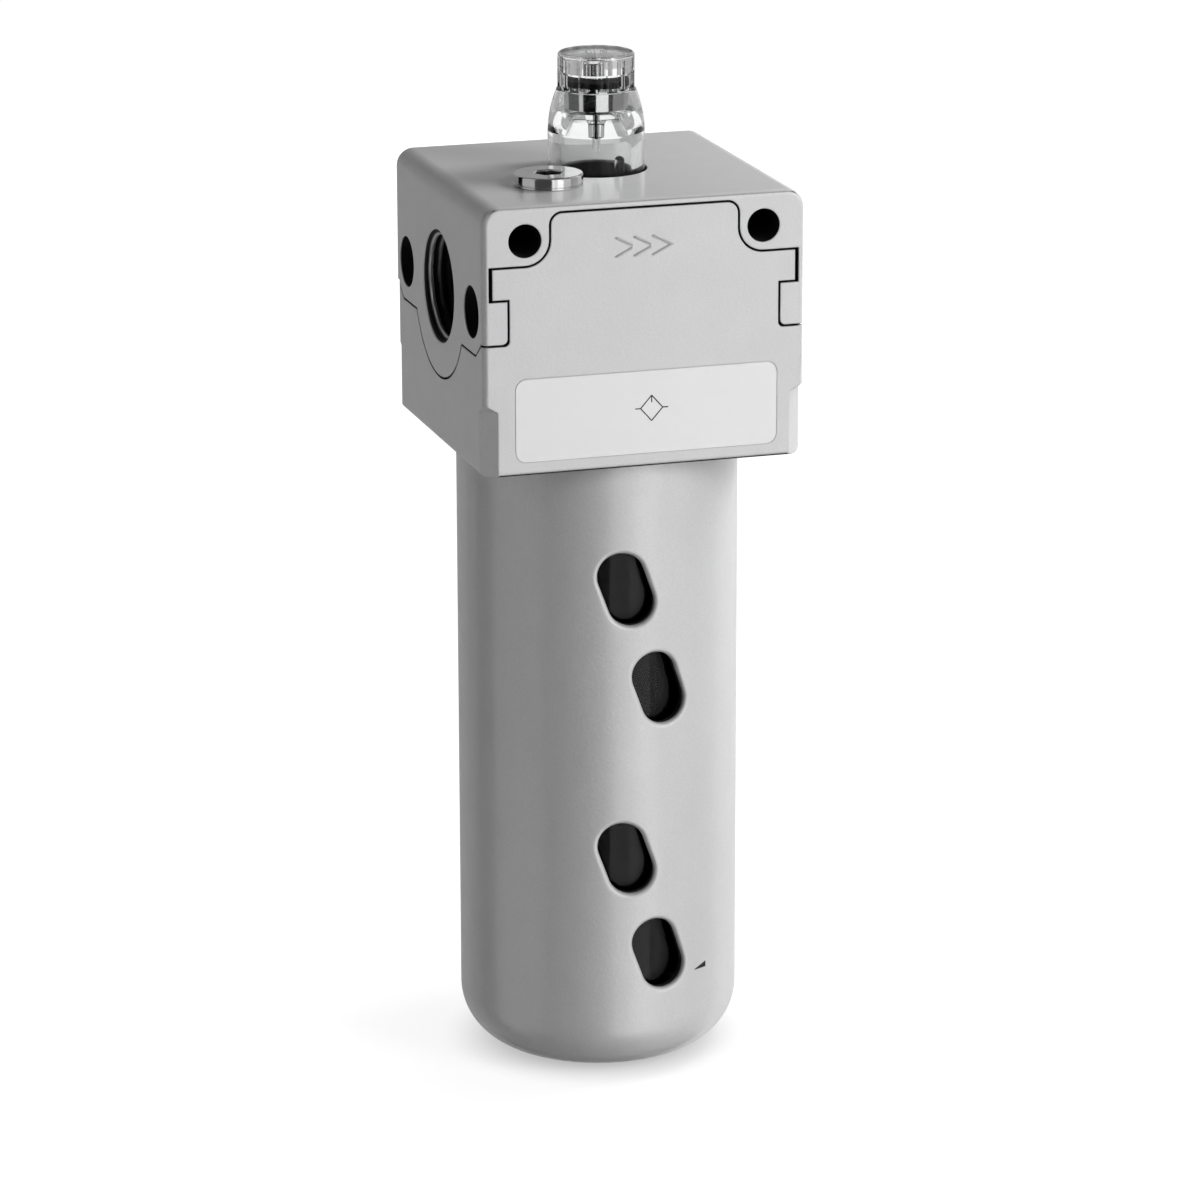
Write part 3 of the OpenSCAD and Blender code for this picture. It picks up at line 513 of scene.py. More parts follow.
BODY_PAINT = paint("body_paint_satin", PAINT_GREY, head_inside, edge=PAINT_EDGE)
COVER_PAINT = paint("cover_paint_satin", PAINT_GREY, head_inside, edge=PAINT_EDGE, arrows=True)
GUARD_PAINT = paint("guard_paint_satin", PAINT_GREY, marked_inside)
THREAD_METAL = paint("port_thread_metal", PAINT_GREY, marked_inside)
LABEL_FILM = moulded("label_film_pale", (0.75, 0.75, 0.75), 0.34, 0.38, 2500.0, 0.05, paler=1.01)
PRINT_BLACK = moulded(
    "print_black", (0.02, 0.02, 0.02), 0.4, 0.5, 3500.0, 0.1, Specular_IOR_Level=0.2
)
CLEAR_DOME = clear_plastic("clear_dome_plastic", (0.955, 0.96, 0.96), 0.04, matt_above=TOP + 21.38)
CLEAR_BOWL = clear_plastic("clear_bowl_plastic", (0.49, 0.5, 0.5), 0.03)
RISER_CLEAR = clear_plastic("clear_riser_plastic", (0.97, 0.975, 0.975), 0.12)
NICKEL = turned_metal("nickel_plate_turned", (0.72, 0.72, 0.72), 0.07, 0.14, depth=0.08, lean=0.12)
STEEL = turned_metal("bright_steel_turned", (0.6, 0.6, 0.61), 0.2, 0.3)
BRASS = turned_metal("brass_turned", (0.60, 0.45, 0.20), 0.2, 0.32)
BRONZE = moulded("bronze_sintered", (0.36, 0.22, 0.10), 0.55, 0.7, 2600.0, 0.9, Metallic=0.9)
RUBBER = moulded("rubber_black", (0.012, 0.012, 0.012), 0.35, 0.5, 3000.0, 0.15)
RING_BLACK = moulded(
    "ring_black_matt", (0.004, 0.004, 0.004), 0.6, 0.7, 3000.0, 0.1, Specular_IOR_Level=0.1
)
DARK_PLASTIC = moulded("dark_plastic_moulded", (0.045, 0.045, 0.048), 0.4, 0.5)
SIPHON = moulded("siphon_plastic_milky", (0.7, 0.72, 0.72), 0.25, 0.35, Transmission_Weight=0.3)

FINISHES = {
    "upper_body": BODY_PAINT,
    "lower_cover": COVER_PAINT,
    "plain_label": LABEL_FILM,
    "bowl_guard": GUARD_PAINT,
    "inner_bowl": CLEAR_BOWL,
    "bowl_seal": RUBBER,
    "manifold": DARK_PLASTIC,
    "manifold_seal": RUBBER,
    "manifold_screws": STEEL,
    "venturi_jet": BRASS,
    "flow_flap": DARK_PLASTIC,
    "flap_pin": STEEL,
    "ball_seat": BRASS,
    "check_ball": STEEL,
    "siphon_tube": SIPHON,
    "suction_strainer": BRONZE,
    "sight_dome": CLEAR_DOME,
    "dome_seal": RUBBER,
    "drip_nozzle": CLEAR_DOME,
    "regulating_screw": NICKEL,
    "screw_ring": RUBBER,
    "filler_plug": NICKEL,
    "filler_seal": RUBBER,
}
for node_name, finish in FINISHES.items():
    nodes[node_name].data.materials.clear()
    nodes[node_name].data.materials.append(finish)


# Bowl guard

COLUMNS = 240
ROW_STEP = 1.0
PATCH_COLUMNS = 11
PATCH_HALF_H = 8.8


class Slot:
    """A sight slot cut straight through the guard's wall, at an angle from the front and a height."""

    def __init__(self, angle, z):
        self.angle = math.radians(angle - 90)
        self.z = z
        self.along = (-math.sin(SLOT_LEAN), math.cos(SLOT_LEAN))

    def outline(self, direction):
        """The point of the slot's edge in a direction from its middle, and the way out of it there."""
        dx, dz = direction
        far = 3 * (SLOT_R + SLOT_HALF)
        near = 0.0
        # Halving the way between them closes in on the edge
        for _ in range(40):
            mid = (near + far) / 2
            if self.reach(dx * mid, dz * mid)[0] < SLOT_R:
                near = mid
            else:
                far = mid
        x, z = dx * near, dz * near
        _, cx, cz = self.reach(x, z)
        return (x, z), ((x - cx) / SLOT_R, (z - cz) / SLOT_R)

    def reach(self, x, z):
        """Distance of a point from the slot's middle line, and the nearest point of that line."""
        ax, az = self.along
        s = min(max(x * ax + z * az, -SLOT_HALF), SLOT_HALF)
        return math.hypot(x - s * ax, z - s * az), s * ax, s * az

    def place(self, out, x, z):
        """The point at a distance out of the axis, x to the side and z above the slot's middle."""
        c, s = math.cos(self.angle), math.sin(self.angle)
        return out * c - x * s, out * s + x * c, self.z + z


def all_slots():
    found = []
    for back in (0, 180):
        for pair in (0, 1):
            for side in (-1, 1):
                z = SLOT_LOW_Z + pair * SLOT_PAIR_PITCH - side * SLOT_STEP / 2
                found.append(Slot(SLOT_TURN + side * SLOT_SIDE + back, z))
    return found


def patch_of(slot, levels):
    """Columns and rows of the window that is left open in the guard's grid round a slot."""
    middle = round(slot.angle / (2 * math.pi) * COLUMNS)
    low = min(range(len(levels)), key=lambda i: abs(levels[i] - (slot.z - PATCH_HALF_H)))
    high = min(range(len(levels)), key=lambda i: abs(levels[i] - (slot.z + PATCH_HALF_H)))
    return middle - PATCH_COLUMNS, middle + PATCH_COLUMNS, low, high


def window_edge(patch):
    """Column and row of each grid point round a window, once round."""
    left, right, low, high = patch
    edge = [(c, low) for c in range(left, right)]
    edge += [(right, r) for r in range(low, high)]
    edge += [(c, high) for c in range(right, left, -1)]
    edge += [(left, r) for r in range(high, low, -1)]
    return edge


def rows_round_slot(skin, slot, edge, rows, levels, radius, lip, inner):
    """Rows of points from the window's edge to the slot's wall, on one skin of the guard."""
    start = [rows[r][c % COLUMNS] for c, r in edge]
    found = [start]
    corners = []
    for c, r in edge:
        a = 2 * math.pi * c / COLUMNS - slot.angle
        corners.append((radius * math.sin(a), levels[r] - slot.z))
    shape = []
    for x, z in corners:
        length = math.hypot(x, z)
        shape.append(slot.outline((x / length, z / length)))
    steps = 5
    for k in range(1, steps):
        t = k / steps
        row = []
        for (x, z), ((qx, qz), (nx, nz)) in zip(corners, shape):
            px, pz = blend(x, qx + nx * lip, t), blend(z, qz + nz * lip, t)
            row.append(skin.point(*slot.place(math.sqrt(radius * radius - px * px), px, pz), inner))
        found.append(row)
    turns = 7
    sense = 1 if inner else -1
    for k in range(turns + 1):
        a = math.pi / 2 * k / turns
        out, deep = lip * (1 - math.sin(a)), lip * (1 - math.cos(a))
        row = []
        for (qx, qz), (nx, nz) in shape:
            px, pz = qx + nx * out, qz + nz * out
            level = math.sqrt(radius * radius - px * px) + sense * deep
            row.append(skin.point(*slot.place(level, px, pz), inner))
        found.append(row)
    return found


def make_guard():
    """The guard: a grid over both sides of its wall, with rounded slots set into windows of the grid."""
    skin = Skin()
    angles = turn(COLUMNS)
    inner_r = GUARD_R - GUARD_WALL
    inner_foot = FOOT_R - GUARD_WALL
    wall_high = GUARD_SHOULDER - 1 - FOOT_R
    rows_up = round(wall_high / ROW_STEP)
    levels = [FOOT_R + i * wall_high / rows_up for i in range(rows_up + 1)]

    under = [skin.ring(r, 0, angles) for r in (0, 5, 10)]
    foot = [skin.ring(r, z, angles) for r, z in arc(GUARD_R - FOOT_R, FOOT_R, FOOT_R, -90, 0, 28)[:-1]]
    outer = [skin.ring(GUARD_R, z, angles) for z in levels]
    neck_r = GUARD_R - NECK_STEP
    crown = [(GUARD_R, GUARD_SHOULDER - 0.7)]
    crown += arc(GUARD_R - GUARD_EDGE, GUARD_SHOULDER - GUARD_EDGE, GUARD_EDGE, 0, 90, 5)
    crown += [(neck_r, GUARD_SHOULDER), (neck_r, GUARD_TOP - GUARD_EDGE), (neck_r - GUARD_EDGE, GUARD_TOP)]
    crown += [(inner_r + GUARD_EDGE, GUARD_TOP), (inner_r, GUARD_TOP - GUARD_EDGE)]
    # Points marked 1 are painted dark as shade: the neck up in the head, the inner skin and the slot walls
    top = [skin.ring(r, z, angles, 1.0 if z > GUARD_SHOULDER - 0.1 else 0.0) for r, z in crown]
    inner = [skin.ring(inner_r, z, angles, 1.0) for z in levels]
    bowl_low = arc(inner_r - inner_foot, FOOT_R, inner_foot, 0, -90, 12)[1:]
    bottom = [skin.ring(r, z, angles, 1.0) for r, z in bowl_low]
    bottom.append(skin.ring(0, GUARD_WALL, angles, 1.0))

    skin.bands(under + foot + outer[:1])
    skin.bands(outer[-1:] + top + inner[-1:])
    skin.bands(inner[:1] + bottom)

    slots = all_slots()
    patches = [patch_of(slot, levels) for slot in slots]
    open_cells = set()
    for left, right, low, high in patches:
        open_cells.update((c % COLUMNS, r) for c in range(left, right) for r in range(low, high))
    for grid in (outer, inner):
        for r in range(len(levels) - 1):
            for c in range(COLUMNS):
                if (c, r) not in open_cells:
                    d = (c + 1) % COLUMNS
                    skin.faces.append((grid[r][c], grid[r][d], grid[r + 1][d], grid[r + 1][c]))
    for slot, patch in zip(slots, patches):
        edge = window_edge(patch)
        outside = rows_round_slot(skin, slot, edge, outer, levels, GUARD_R, SLOT_LIP, 0.0)
        # The slot walls and the inner lips are marked to be painted dark as shade
        inside = rows_round_slot(skin, slot, edge, inner, levels, inner_r, SLOT_INNER_LIP, 1.0)
        wall = []
        for t in (0.25, 0.6):
            row = []
            for a, b in zip(outside[-1], inside[-1]):
                p = Vector(skin.points[a]).lerp(Vector(skin.points[b]), t)
                row.append(skin.point(p.x, p.y, p.z, 1.0))
            wall.append(row)
        skin.bands(outside + wall + inside[::-1])
    return skin.piece("guard_shell", "guard", GUARD_PAINT, ["bowl_guard"], sharp=50)


make_guard()


# Sight dome, nozzle and regulating screw, heights above the top face

FLUTES = 12
FLUTE_TURN = math.radians(23)
FLUTE_TOOL_R = 1.25
FLUTE_DEPTH = 0.42
NECK_R = 7.0
NECK_Z = 14.7
SHOULDER_Z = 6.3
DOME_R = 8.85
DOME_H = 21.4
DOME_RIM = 0.65
SHOULDER_TILT = math.radians(22)
SEAT_DROP = 4.0
THREAD_R = 7.9
THREAD_L = 5.0
SHOULDER_WALL = 1.15
CHAMBER_R = 6.5
CHAMBER_EDGE_Z = 6.7
CEILING_R = 4.2
CEILING_Z = 10.5
SHELF_Z = 11.0
BORE_R = 6.15
BORE_TOP = 17.9
DISC_Z = 9.6
STEM_HOLE_R = 1.9
TO_TOP = Matrix.Translation((0, 0, TOP * MM))

# Angles of one flute's columns from its middle, in degrees
FLUTE_STEPS = [
    -15, -12, -9.5, -8.2, -7.4, -6.93, -6.2, -5, -3.6, -1.8,
    0, 1.8, 3.6, 5, 6.2, 6.93, 7.4, 8.2, 9.5, 12,
]
# Heights up the flutes, each with the share of their depth that is cut there
FLUTE_ROWS = [
    (14.85, 0), (14.98, 0.1), (15.1, 0.45), (15.25, 0.85), (15.4, 1), (16.2, 1), (17.2, 1), (18.2, 1),
    (19.2, 1), (20.0, 1), (20.46, 1), (20.5, 0.97), (20.54, 0.7), (20.58, 0.2), (20.62, 0),
]


def flute_columns():
    """Angles of the dome's columns, closest together at the edges of the flutes."""
    found = []
    for i in range(FLUTES):
        found += [FLUTE_TURN + math.radians(360 / FLUTES * i + step) for step in FLUTE_STEPS]
    return found


def fluted(radius, share):
    """Radius of the neck with its flutes cut to a share of their depth."""
    middle = NECK_R - FLUTE_DEPTH + FLUTE_TOOL_R
    pitch = 2 * math.pi / FLUTES

    def at(angle):
        off = (angle - FLUTE_TURN + pitch / 2) % pitch - pitch / 2
        side = middle * math.sin(off)
        if abs(side) >= FLUTE_TOOL_R:
            return radius
        cut = middle * math.cos(off) - math.sqrt(FLUTE_TOOL_R ** 2 - side ** 2)
        return blend(radius, min(radius, cut), share)

    return at


def make_dome():
    """The clear dome: shoulder, fluted neck, chamber and the bores of the screw and its stem."""
    skin = Skin()
    angles = flute_columns()
    arc_r = (NECK_Z - SHOULDER_Z) / math.sin(SHOULDER_TILT)
    arc_x = DOME_R - arc_r
    tilt = math.degrees(SHOULDER_TILT)
    foot = -SEAT_DROP - THREAD_L
    outer = [(THREAD_R, foot), (THREAD_R, -SEAT_DROP), (DOME_R - 0.2, -SEAT_DROP)]
    outer += [(DOME_R, 0.2 - SEAT_DROP), (DOME_R, 0), (DOME_R, SHOULDER_Z / 2)]
    outer += arc(arc_x, SHOULDER_Z, arc_r, 0, tilt, 24)
    rows = [skin.ring(r, z, angles) for r, z in outer]
    rows += [skin.ring(fluted(NECK_R, share), z, angles) for z, share in FLUTE_ROWS]
    rim = arc(NECK_R - DOME_RIM, DOME_H - DOME_RIM, DOME_RIM, 0, 90, 8)
    top = [(4.8, DOME_H), (3.2, DOME_H), (STEM_HOLE_R + 0.15, DOME_H), (STEM_HOLE_R, DOME_H - 0.15)]
    inner = [(STEM_HOLE_R, 19.5), (STEM_HOLE_R, BORE_TOP), (3.5, BORE_TOP), (BORE_R - 0.3, BORE_TOP)]
    inner += [(BORE_R, BORE_TOP - 0.3), (BORE_R, 16), (BORE_R, 14.9)]
    inner_arc_r = arc_r - SHOULDER_WALL
    low_tilt = math.degrees(math.asin((SHELF_Z - SHOULDER_Z) / inner_arc_r))
    inner += arc(arc_x, SHOULDER_Z, inner_arc_r, tilt, low_tilt, 8)
    inner += [(CEILING_R, SHELF_Z), (CEILING_R, CEILING_Z + 0.05), (CEILING_R + 0.05, CEILING_Z)]
    inner += [(CEILING_R + 0.12, CEILING_Z - 0.15), (CHAMBER_R - 0.2, CHAMBER_EDGE_Z + 0.25)]
    inner += [(CHAMBER_R - 0.05, CHAMBER_EDGE_Z), (CHAMBER_R, CHAMBER_EDGE_Z - 0.2)]
    inner += [(CHAMBER_R, 5), (CHAMBER_R, 3), (CHAMBER_R, 0), (CHAMBER_R, -3)]
    inner += [(CHAMBER_R, foot)]
    rows += [skin.ring(r, z, angles) for r, z in rim + top + inner]
    skin.bands(rows, closed=True)
    return skin.piece("clear_dome", "head", CLEAR_DOME, ["sight_dome"], TO_TOP, sharp=25)


RISER_R = 0.75
RISER_TOP = 3.2
RISER_TURN = math.radians(-66)


def make_oil_riser():
    """The riser with a round end that stands against the wall of the chamber."""
    skin = Skin()
    foot = -SEAT_DROP - THREAD_L
    section = [(0, foot), (RISER_R, foot), (RISER_R, -SEAT_DROP), (RISER_R, 0)]
    section += arc(0, RISER_TOP - RISER_R, RISER_R, 0, 90, 8)[:-1] + [(0, RISER_TOP)]
    skin.bands([skin.ring(r, z, turn(24)) for r, z in section])
    out = Matrix.Translation(((CHAMBER_R - RISER_R - 0.02) * MM, 0, 0))
    place = TO_TOP @ Matrix.Rotation(RISER_TURN, 4, "Z") @ out
    return skin.piece("oil_riser", "head", RISER_CLEAR, place=place)


DRIP_Z = 3.1
DRIP_BORE_R = 0.4


def make_nozzle():
    """The clear insert under the screw, with the tip that the drops fall from."""
    skin = Skin()
    rim = CEILING_R - 0.03
    section = [(DRIP_BORE_R, DRIP_Z), (0.55, DRIP_Z), (0.72, 4.6), (0.75, 7.2)]
    section += [(1.4, 7.6), (1.5, 9.2), (1.8, DISC_Z)]
    section += [(rim - 0.1, DISC_Z), (rim, DISC_Z + 0.1), (rim, SHELF_Z - 0.1), (rim - 0.1, SHELF_Z)]
    section += [(DRIP_BORE_R, SHELF_Z)]
    skin.bands([skin.ring(r, z, turn(120)) for r, z in section], closed=True)
    return skin.piece("clear_nozzle", "head", CLEAR_DOME, ["drip_nozzle"], TO_TOP, sharp=25)


SCREW_R = 5.8
RING_R = BORE_R - 0.05
SCREW_LOW = SHELF_Z + 0.15
SCREW_TOP = 15.55
RING_TOP = 16.6
RING_HOLE_R = 1.95
STEM_R = 1.85
STEM_TOP = 19.7
NEEDLE_R = 0.3
NEEDLE_TIP_Z = 6.2


def make_screw():
    """The plated regulating screw: a needle below, painted dark as shade in the nozzle's bore, the body,
    and the stem on top.
    """
    skin = Skin()
    r, low, high = SCREW_R, SCREW_LOW, SCREW_TOP
    needle = [(0, NEEDLE_TIP_Z), (0.08, NEEDLE_TIP_Z), (NEEDLE_R, 7.0), (NEEDLE_R, low)]
    body = [(r - 0.25, low), (r, low + 0.12), (r, (low + high) / 2), (r, high - 0.12), (r - 0.12, high)]
    stem = [(STEM_R + 0.1, high), (STEM_R, high + 0.1), (STEM_R, 17.0), (STEM_R, STEM_TOP - 0.2)]
    stem += [(STEM_R - 0.2, STEM_TOP), (0.9, STEM_TOP), (0, STEM_TOP)]
    # The needle's points are marked to be painted dark as shade
    rows = [skin.ring(radius, z, turn(144), 1.0) for radius, z in needle]
    rows += [skin.ring(radius, z, turn(144)) for radius, z in body + stem]
    skin.bands(rows)
    return skin.piece("plated_screw", "oil_screw", NICKEL, ["regulating_screw"], TO_TOP)


def make_screw_ring():
    """The black ring that lies on the screw, round its stem."""
    skin = Skin()
    low, high, edge = SCREW_TOP + 0.02, RING_TOP, 0.12
    section = [(RING_HOLE_R, low), (RING_R - edge, low), (RING_R, low + edge), (RING_R, high - edge)]
    section += [(RING_R - edge, high), (4.0, high), (RING_HOLE_R, high)]
    skin.bands([skin.ring(r, z, turn(144)) for r, z in section], closed=True)
    return skin.piece("black_ring", "oil_ring", RING_BLACK, ["screw_ring"], TO_TOP)


# Filler plug

PLUG_LOW, PLUG_HIGH = (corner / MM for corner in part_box("filler_plug"))
PLUG_X = (PLUG_LOW.x + PLUG_HIGH.x) / 2
PLUG_Y = (PLUG_LOW.y + PLUG_HIGH.y) / 2
PLUG_R = (PLUG_HIGH.x - PLUG_LOW.x) / 2
PLUG_TOP = PLUG_HIGH.z
SHANK_L = 6.0
SHANK_R = 4.7
SOCKET_HALF = 2.3
SOCKET_DEEP = 3.2


def hexagon(half):
    """Radius of a hexagon by the angle, from half its width across the flats."""
    sixth = math.pi / 3
    return lambda angle: half / math.cos(angle % sixth - sixth / 2)


def make_plug():
    """The plated filler plug with a groove round its foot and a hexagon socket."""
    skin = Skin()
    angles = turn(144)
    h = PLUG_TOP - PLUG_LOW.z - SHANK_L
    r = PLUG_R
    edge = 0.35
    shank = [(0, -SHANK_L), (SHANK_R - 0.5, -SHANK_L), (SHANK_R, 0.5 - SHANK_L), (SHANK_R, 0)]
    groove = [(r, 0.33), (r - 0.05, 0.37), (r - 0.16, 0.4), (r - 0.16, 0.52), (r - 0.05, 0.55), (r, 0.6)]
    side = [(r - 0.1, 0), (r, 0.08)] + groove + [(r, 1.2), (r, h - edge)]
    side += arc(r - edge, h - edge, edge, 0, 90, 6)
    face = [(r - 0.9, h), (4.2, h), (3.3, h)]
    rows = [skin.ring(radius, z, angles) for radius, z in shank + side + face]
    # Deeper in the hexagon socket the points are marked to be painted dark as shade
    socket = [(0.18, 0, 0), (0, 0.18, 0), (0, 0.3, 0.8), (0, SOCKET_DEEP / 2, 1), (0, SOCKET_DEEP, 1)]
    for wider, deep, dark in socket:
        rows.append(skin.ring(hexagon(SOCKET_HALF + wider), h - deep, angles, dark))
    rows.append(skin.ring(0, h - SOCKET_DEEP - 0.4, angles, 1.0))
    skin.bands(rows)
    place = Matrix.Translation((PLUG_X * MM, PLUG_Y * MM, (PLUG_TOP - h) * MM))
    return skin.piece("plated_plug", "plug", NICKEL, ["filler_plug"], place)


make_dome()
make_oil_riser()
make_nozzle()
make_screw()
make_screw_ring()
make_plug()


# Port threads: lengths in millimetres, a ridge's foot and flank as shares of the pitch

THREAD_PITCH = 1.814
THREAD_CREST_R = 9.32
THREAD_ROWS = 84
THREAD_FROM = 0.5
THREAD_DEEP = 13.0
THREAD_START = 0.35
THREAD_GROWTH = 0.7
RIDGE_FOOT = 0.36
RIDGE_FLANK = 0.24
# Depth from which the bore is painted dark as shade
SHADE_DEPTH = 2.3
PORT_R = 10.0


def thread_radius(depth):
    """Radius of the thread at a depth, by the angle."""
    grown = ease((depth - THREAD_START) / THREAD_GROWTH)

    def at(angle):
        phase = (depth / THREAD_PITCH - angle / (2 * math.pi)) % 1
        ridge = ease((RIDGE_FOOT - abs(phase - 0.5)) / RIDGE_FLANK)
        return PORT_R - 0.02 - (PORT_R - THREAD_CREST_R) * ridge * grown

    return at


def make_port_thread(side, name):
    """The ridges of the pipe thread in one port, on a thin sleeve that lines the bore.

    The first ridges are painted grey, and the roots and everything deeper are painted dark as shade.
    """
    skin = Skin()
    angles = turn(120)
    length = THREAD_DEEP - THREAD_FROM
    depths = [THREAD_FROM + length * i / THREAD_ROWS for i in range(THREAD_ROWS + 1)]
    rows = []
    for depth in depths:
        radius = thread_radius(depth)
        row = []
        for a in angles:
            r = radius(a)
            # Roots of the ridges and the bore deeper in are marked to be painted dark as shade
            root = ease((r - THREAD_CREST_R - 0.1) / 0.4)
            dark = max(root, ease((depth - SHADE_DEPTH) / 0.9))
            row.append(skin.point(r * math.cos(a), r * math.sin(a), -depth, dark))
        rows.append(row)
    back = PORT_R + 0.05
    rows.append(skin.ring(back, -depths[-1], angles, 1.0))
    rows.append(skin.ring(back, -depths[0], angles, 1.0))
    skin.bands(rows, closed=True)
    mouth = Matrix.Translation((side * HALF_W * MM, 0, PORT_Z * MM))
    place = mouth @ Matrix.Rotation(side * math.pi / 2, 4, "Y")
    return skin.piece(name, "head", THREAD_METAL, place=place)


make_port_thread(-1, "inlet_thread")
make_port_thread(1, "outlet_thread")


# Marks printed on the label and the guard, in millimetres

PRINT_T = 0.03
LABEL_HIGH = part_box("plain_label")[0].y / MM
SYMBOL_X = 1.25
SYMBOL_Z = TOP - 38.15
SYMBOL_HALF_H = 2.35
SYMBOL_HALF_W = 2.07
SYMBOL_REACH = 3.1
SYMBOL_TICK = 1.3
SYMBOL_LINE = 0.2


def bar_on_front(skin, a, b, width):
    """A printed line between two points of the front face."""
    (ax, az), (bx, bz) = a, b
    length = math.hypot(bx - ax, bz - az)
    nx, nz = -(bz - az) / length * width / 2, (bx - ax) / length * width / 2
    corners = [(ax + nx, az + nz), (bx + nx, bz + nz), (bx - nx, bz - nz), (ax - nx, az - nz)]
    back = [skin.point(x, LABEL_HIGH + PRINT_T / 2, z) for x, z in corners]
    front = [skin.point(x, LABEL_HIGH - PRINT_T, z) for x, z in corners]
    skin.faces.append(tuple(front))
    skin.faces.append(tuple(back[::-1]))
    skin.band(back, front)


def make_symbol():
    """The diamond with side lines and a tick that stands for a lubricator."""
    skin = Skin()
    x, z = SYMBOL_X, SYMBOL_Z
    high, low = (x, z + SYMBOL_HALF_H), (x, z - SYMBOL_HALF_H)
    left, right = (x - SYMBOL_HALF_W, z), (x + SYMBOL_HALF_W, z)
    lines = [(high, right), (right, low), (low, left), (left, high)]
    lines += [(left, (x - SYMBOL_REACH, z)), (right, (x + SYMBOL_REACH, z))]
    lines.append((high, (x, z + SYMBOL_HALF_H - SYMBOL_TICK)))
    for a, b in lines:
        bar_on_front(skin, a, b, SYMBOL_LINE)
    return skin.piece("label_symbol", "head", PRINT_BLACK)


# The wedge's ends, in degrees from the front toward the right, and its heights
WEDGE_LEFT = 26.5
WEDGE_RIGHT = 33.3
WEDGE_Z = 19.2
WEDGE_TIP = 0.1
WEDGE_TALL = 1.15


def make_level_wedge():
    """The plain wedge on the guard that marks the lowest oil level, between two angles."""
    skin = Skin()
    under, proud = GUARD_R - 0.01, GUARD_R + PRINT_T
    steps = 12
    rows = []
    for i in range(steps + 1):
        t = i / steps
        a = math.radians(blend(WEDGE_LEFT, WEDGE_RIGHT, t) - 90)
        low = blend(WEDGE_Z, WEDGE_Z - 0.1, t)
        high = low + blend(WEDGE_TIP, WEDGE_TALL, t)
        section = [(under, low), (proud, low), (proud, high), (under, high)]
        rows.append([skin.point(r * math.cos(a), r * math.sin(a), z) for r, z in section])
    skin.bands(rows)
    skin.faces.append(tuple(rows[0]))
    skin.faces.append(tuple(rows[-1][::-1]))
    return skin.piece("level_wedge", "guard", PRINT_BLACK)


make_symbol()
make_level_wedge()


# Camera: its place in metres, its turns, and its lens and sensor in millimetres

CAMERA_AT = Vector((-0.27534, -0.88937, 0.3562))
YAW, PITCH, ROLL = (math.radians(a) for a in (17.235, 16.209, -0.108))
LENS = 156.087
SENSOR = 36.0
CLIP_NEAR = 0.01
CLIP_FAR = 20


def make_camera():
    """The camera, turned right by its yaw, down by its pitch and round its view by its roll."""
    ahead = math.cos(PITCH)
    forward = Vector((math.sin(YAW) * ahead, math.cos(YAW) * ahead, -math.sin(PITCH)))
    level_right = Vector((math.cos(YAW), -math.sin(YAW), 0))
    level_up = level_right.cross(forward)
    right = level_right * math.cos(ROLL) + level_up * math.sin(ROLL)
    up = level_up * math.cos(ROLL) - level_right * math.sin(ROLL)
    data = bpy.data.cameras.new("camera")
    data.lens = LENS
    data.sensor_width = SENSOR
    data.clip_start = CLIP_NEAR
    data.clip_end = CLIP_FAR
    camera = bpy.data.objects.new("camera", data)
    turned = Matrix((right, up, -forward)).transposed().to_4x4()
    camera.matrix_world = Matrix.Translation(CAMERA_AT) @ turned
    bpy.context.scene.collection.objects.link(camera)
    bpy.context.scene.camera = camera


# Studio, in metres

FLOOR_HALF = 6.0
FLOOR_LIT = (0.9, 0.9, 0.9)
FLOOR_SEEN = (0.15, 0.15, 0.15)
# Painted shadow in the floor's glow: from one distance to another it grows from one level to another
PAINTED_SHADOW_NEAR = (0.012, 0.031, 0.36, 0.9)
PAINTED_SHADOW_FAR = (0.027, 0.07, 0.0, 0.1)
# How much of the floor's glow clear parts show, and how bright mirrors and clear parts show the world
FLOOR_CLEAR = 0.56
SKY_GLOSS = 0.12
SKY_CLEAR = 0.95


def make_floor():
    """A white floor with a soft painted shadow under the bowl.

    The object is lit by its pale colour. What the camera sees is mostly its glow, which grows from
    the middle outward, and a darker colour that takes the lamps' shadows.
    """
    mesh = bpy.data.meshes.new("floor")
    size = FLOOR_HALF
    corners = [(-size, -size, 0), (size, -size, 0), (size, size, 0), (-size, size, 0)]
    mesh.from_pydata(corners, [], [(0, 1, 2, 3)])
    material, tree, shader = new_material("floor_white", Roughness=0.9, Specular_IOR_Level=0.0)
    glow = tree.nodes.new("ShaderNodeEmission")
    path = tree.nodes.new("ShaderNodeLightPath")
    through = math_node(tree, "MULTIPLY", path.outputs["Is Transmission Ray"], FLOOR_CLEAR)
    seen = math_node(tree, "MAXIMUM", path.outputs["Is Camera Ray"], through)
    tree.links.new(mix_colour(tree, seen, FLOOR_LIT, FLOOR_SEEN), shader.inputs["Base Color"])
    where = tree.nodes.new("ShaderNodeTexCoord").outputs["Object"]
    away = tree.nodes.new("ShaderNodeVectorMath")
    away.operation = "LENGTH"
    tree.links.new(where, away.inputs[0])
    # The glow is dimmed near the bowl's foot as a painted shadow
    near = ramp(tree, away.outputs["Value"], *PAINTED_SHADOW_NEAR)
    far = ramp(tree, away.outputs["Value"], *PAINTED_SHADOW_FAR)
    level = math_node(tree, "MULTIPLY", seen, math_node(tree, "ADD", near, far))
    tree.links.new(level, glow.inputs["Strength"])
    both = tree.nodes.new("ShaderNodeAddShader")
    tree.links.new(shader.outputs[0], both.inputs[0])
    tree.links.new(glow.outputs[0], both.inputs[1])
    tree.links.new(both.outputs[0], tree.nodes["Material Output"].inputs["Surface"])
    mesh.materials.append(material)
    floor = bpy.data.objects.new("floor", mesh)
    bpy.context.scene.collection.objects.link(floor)
    floor.visible_glossy = False


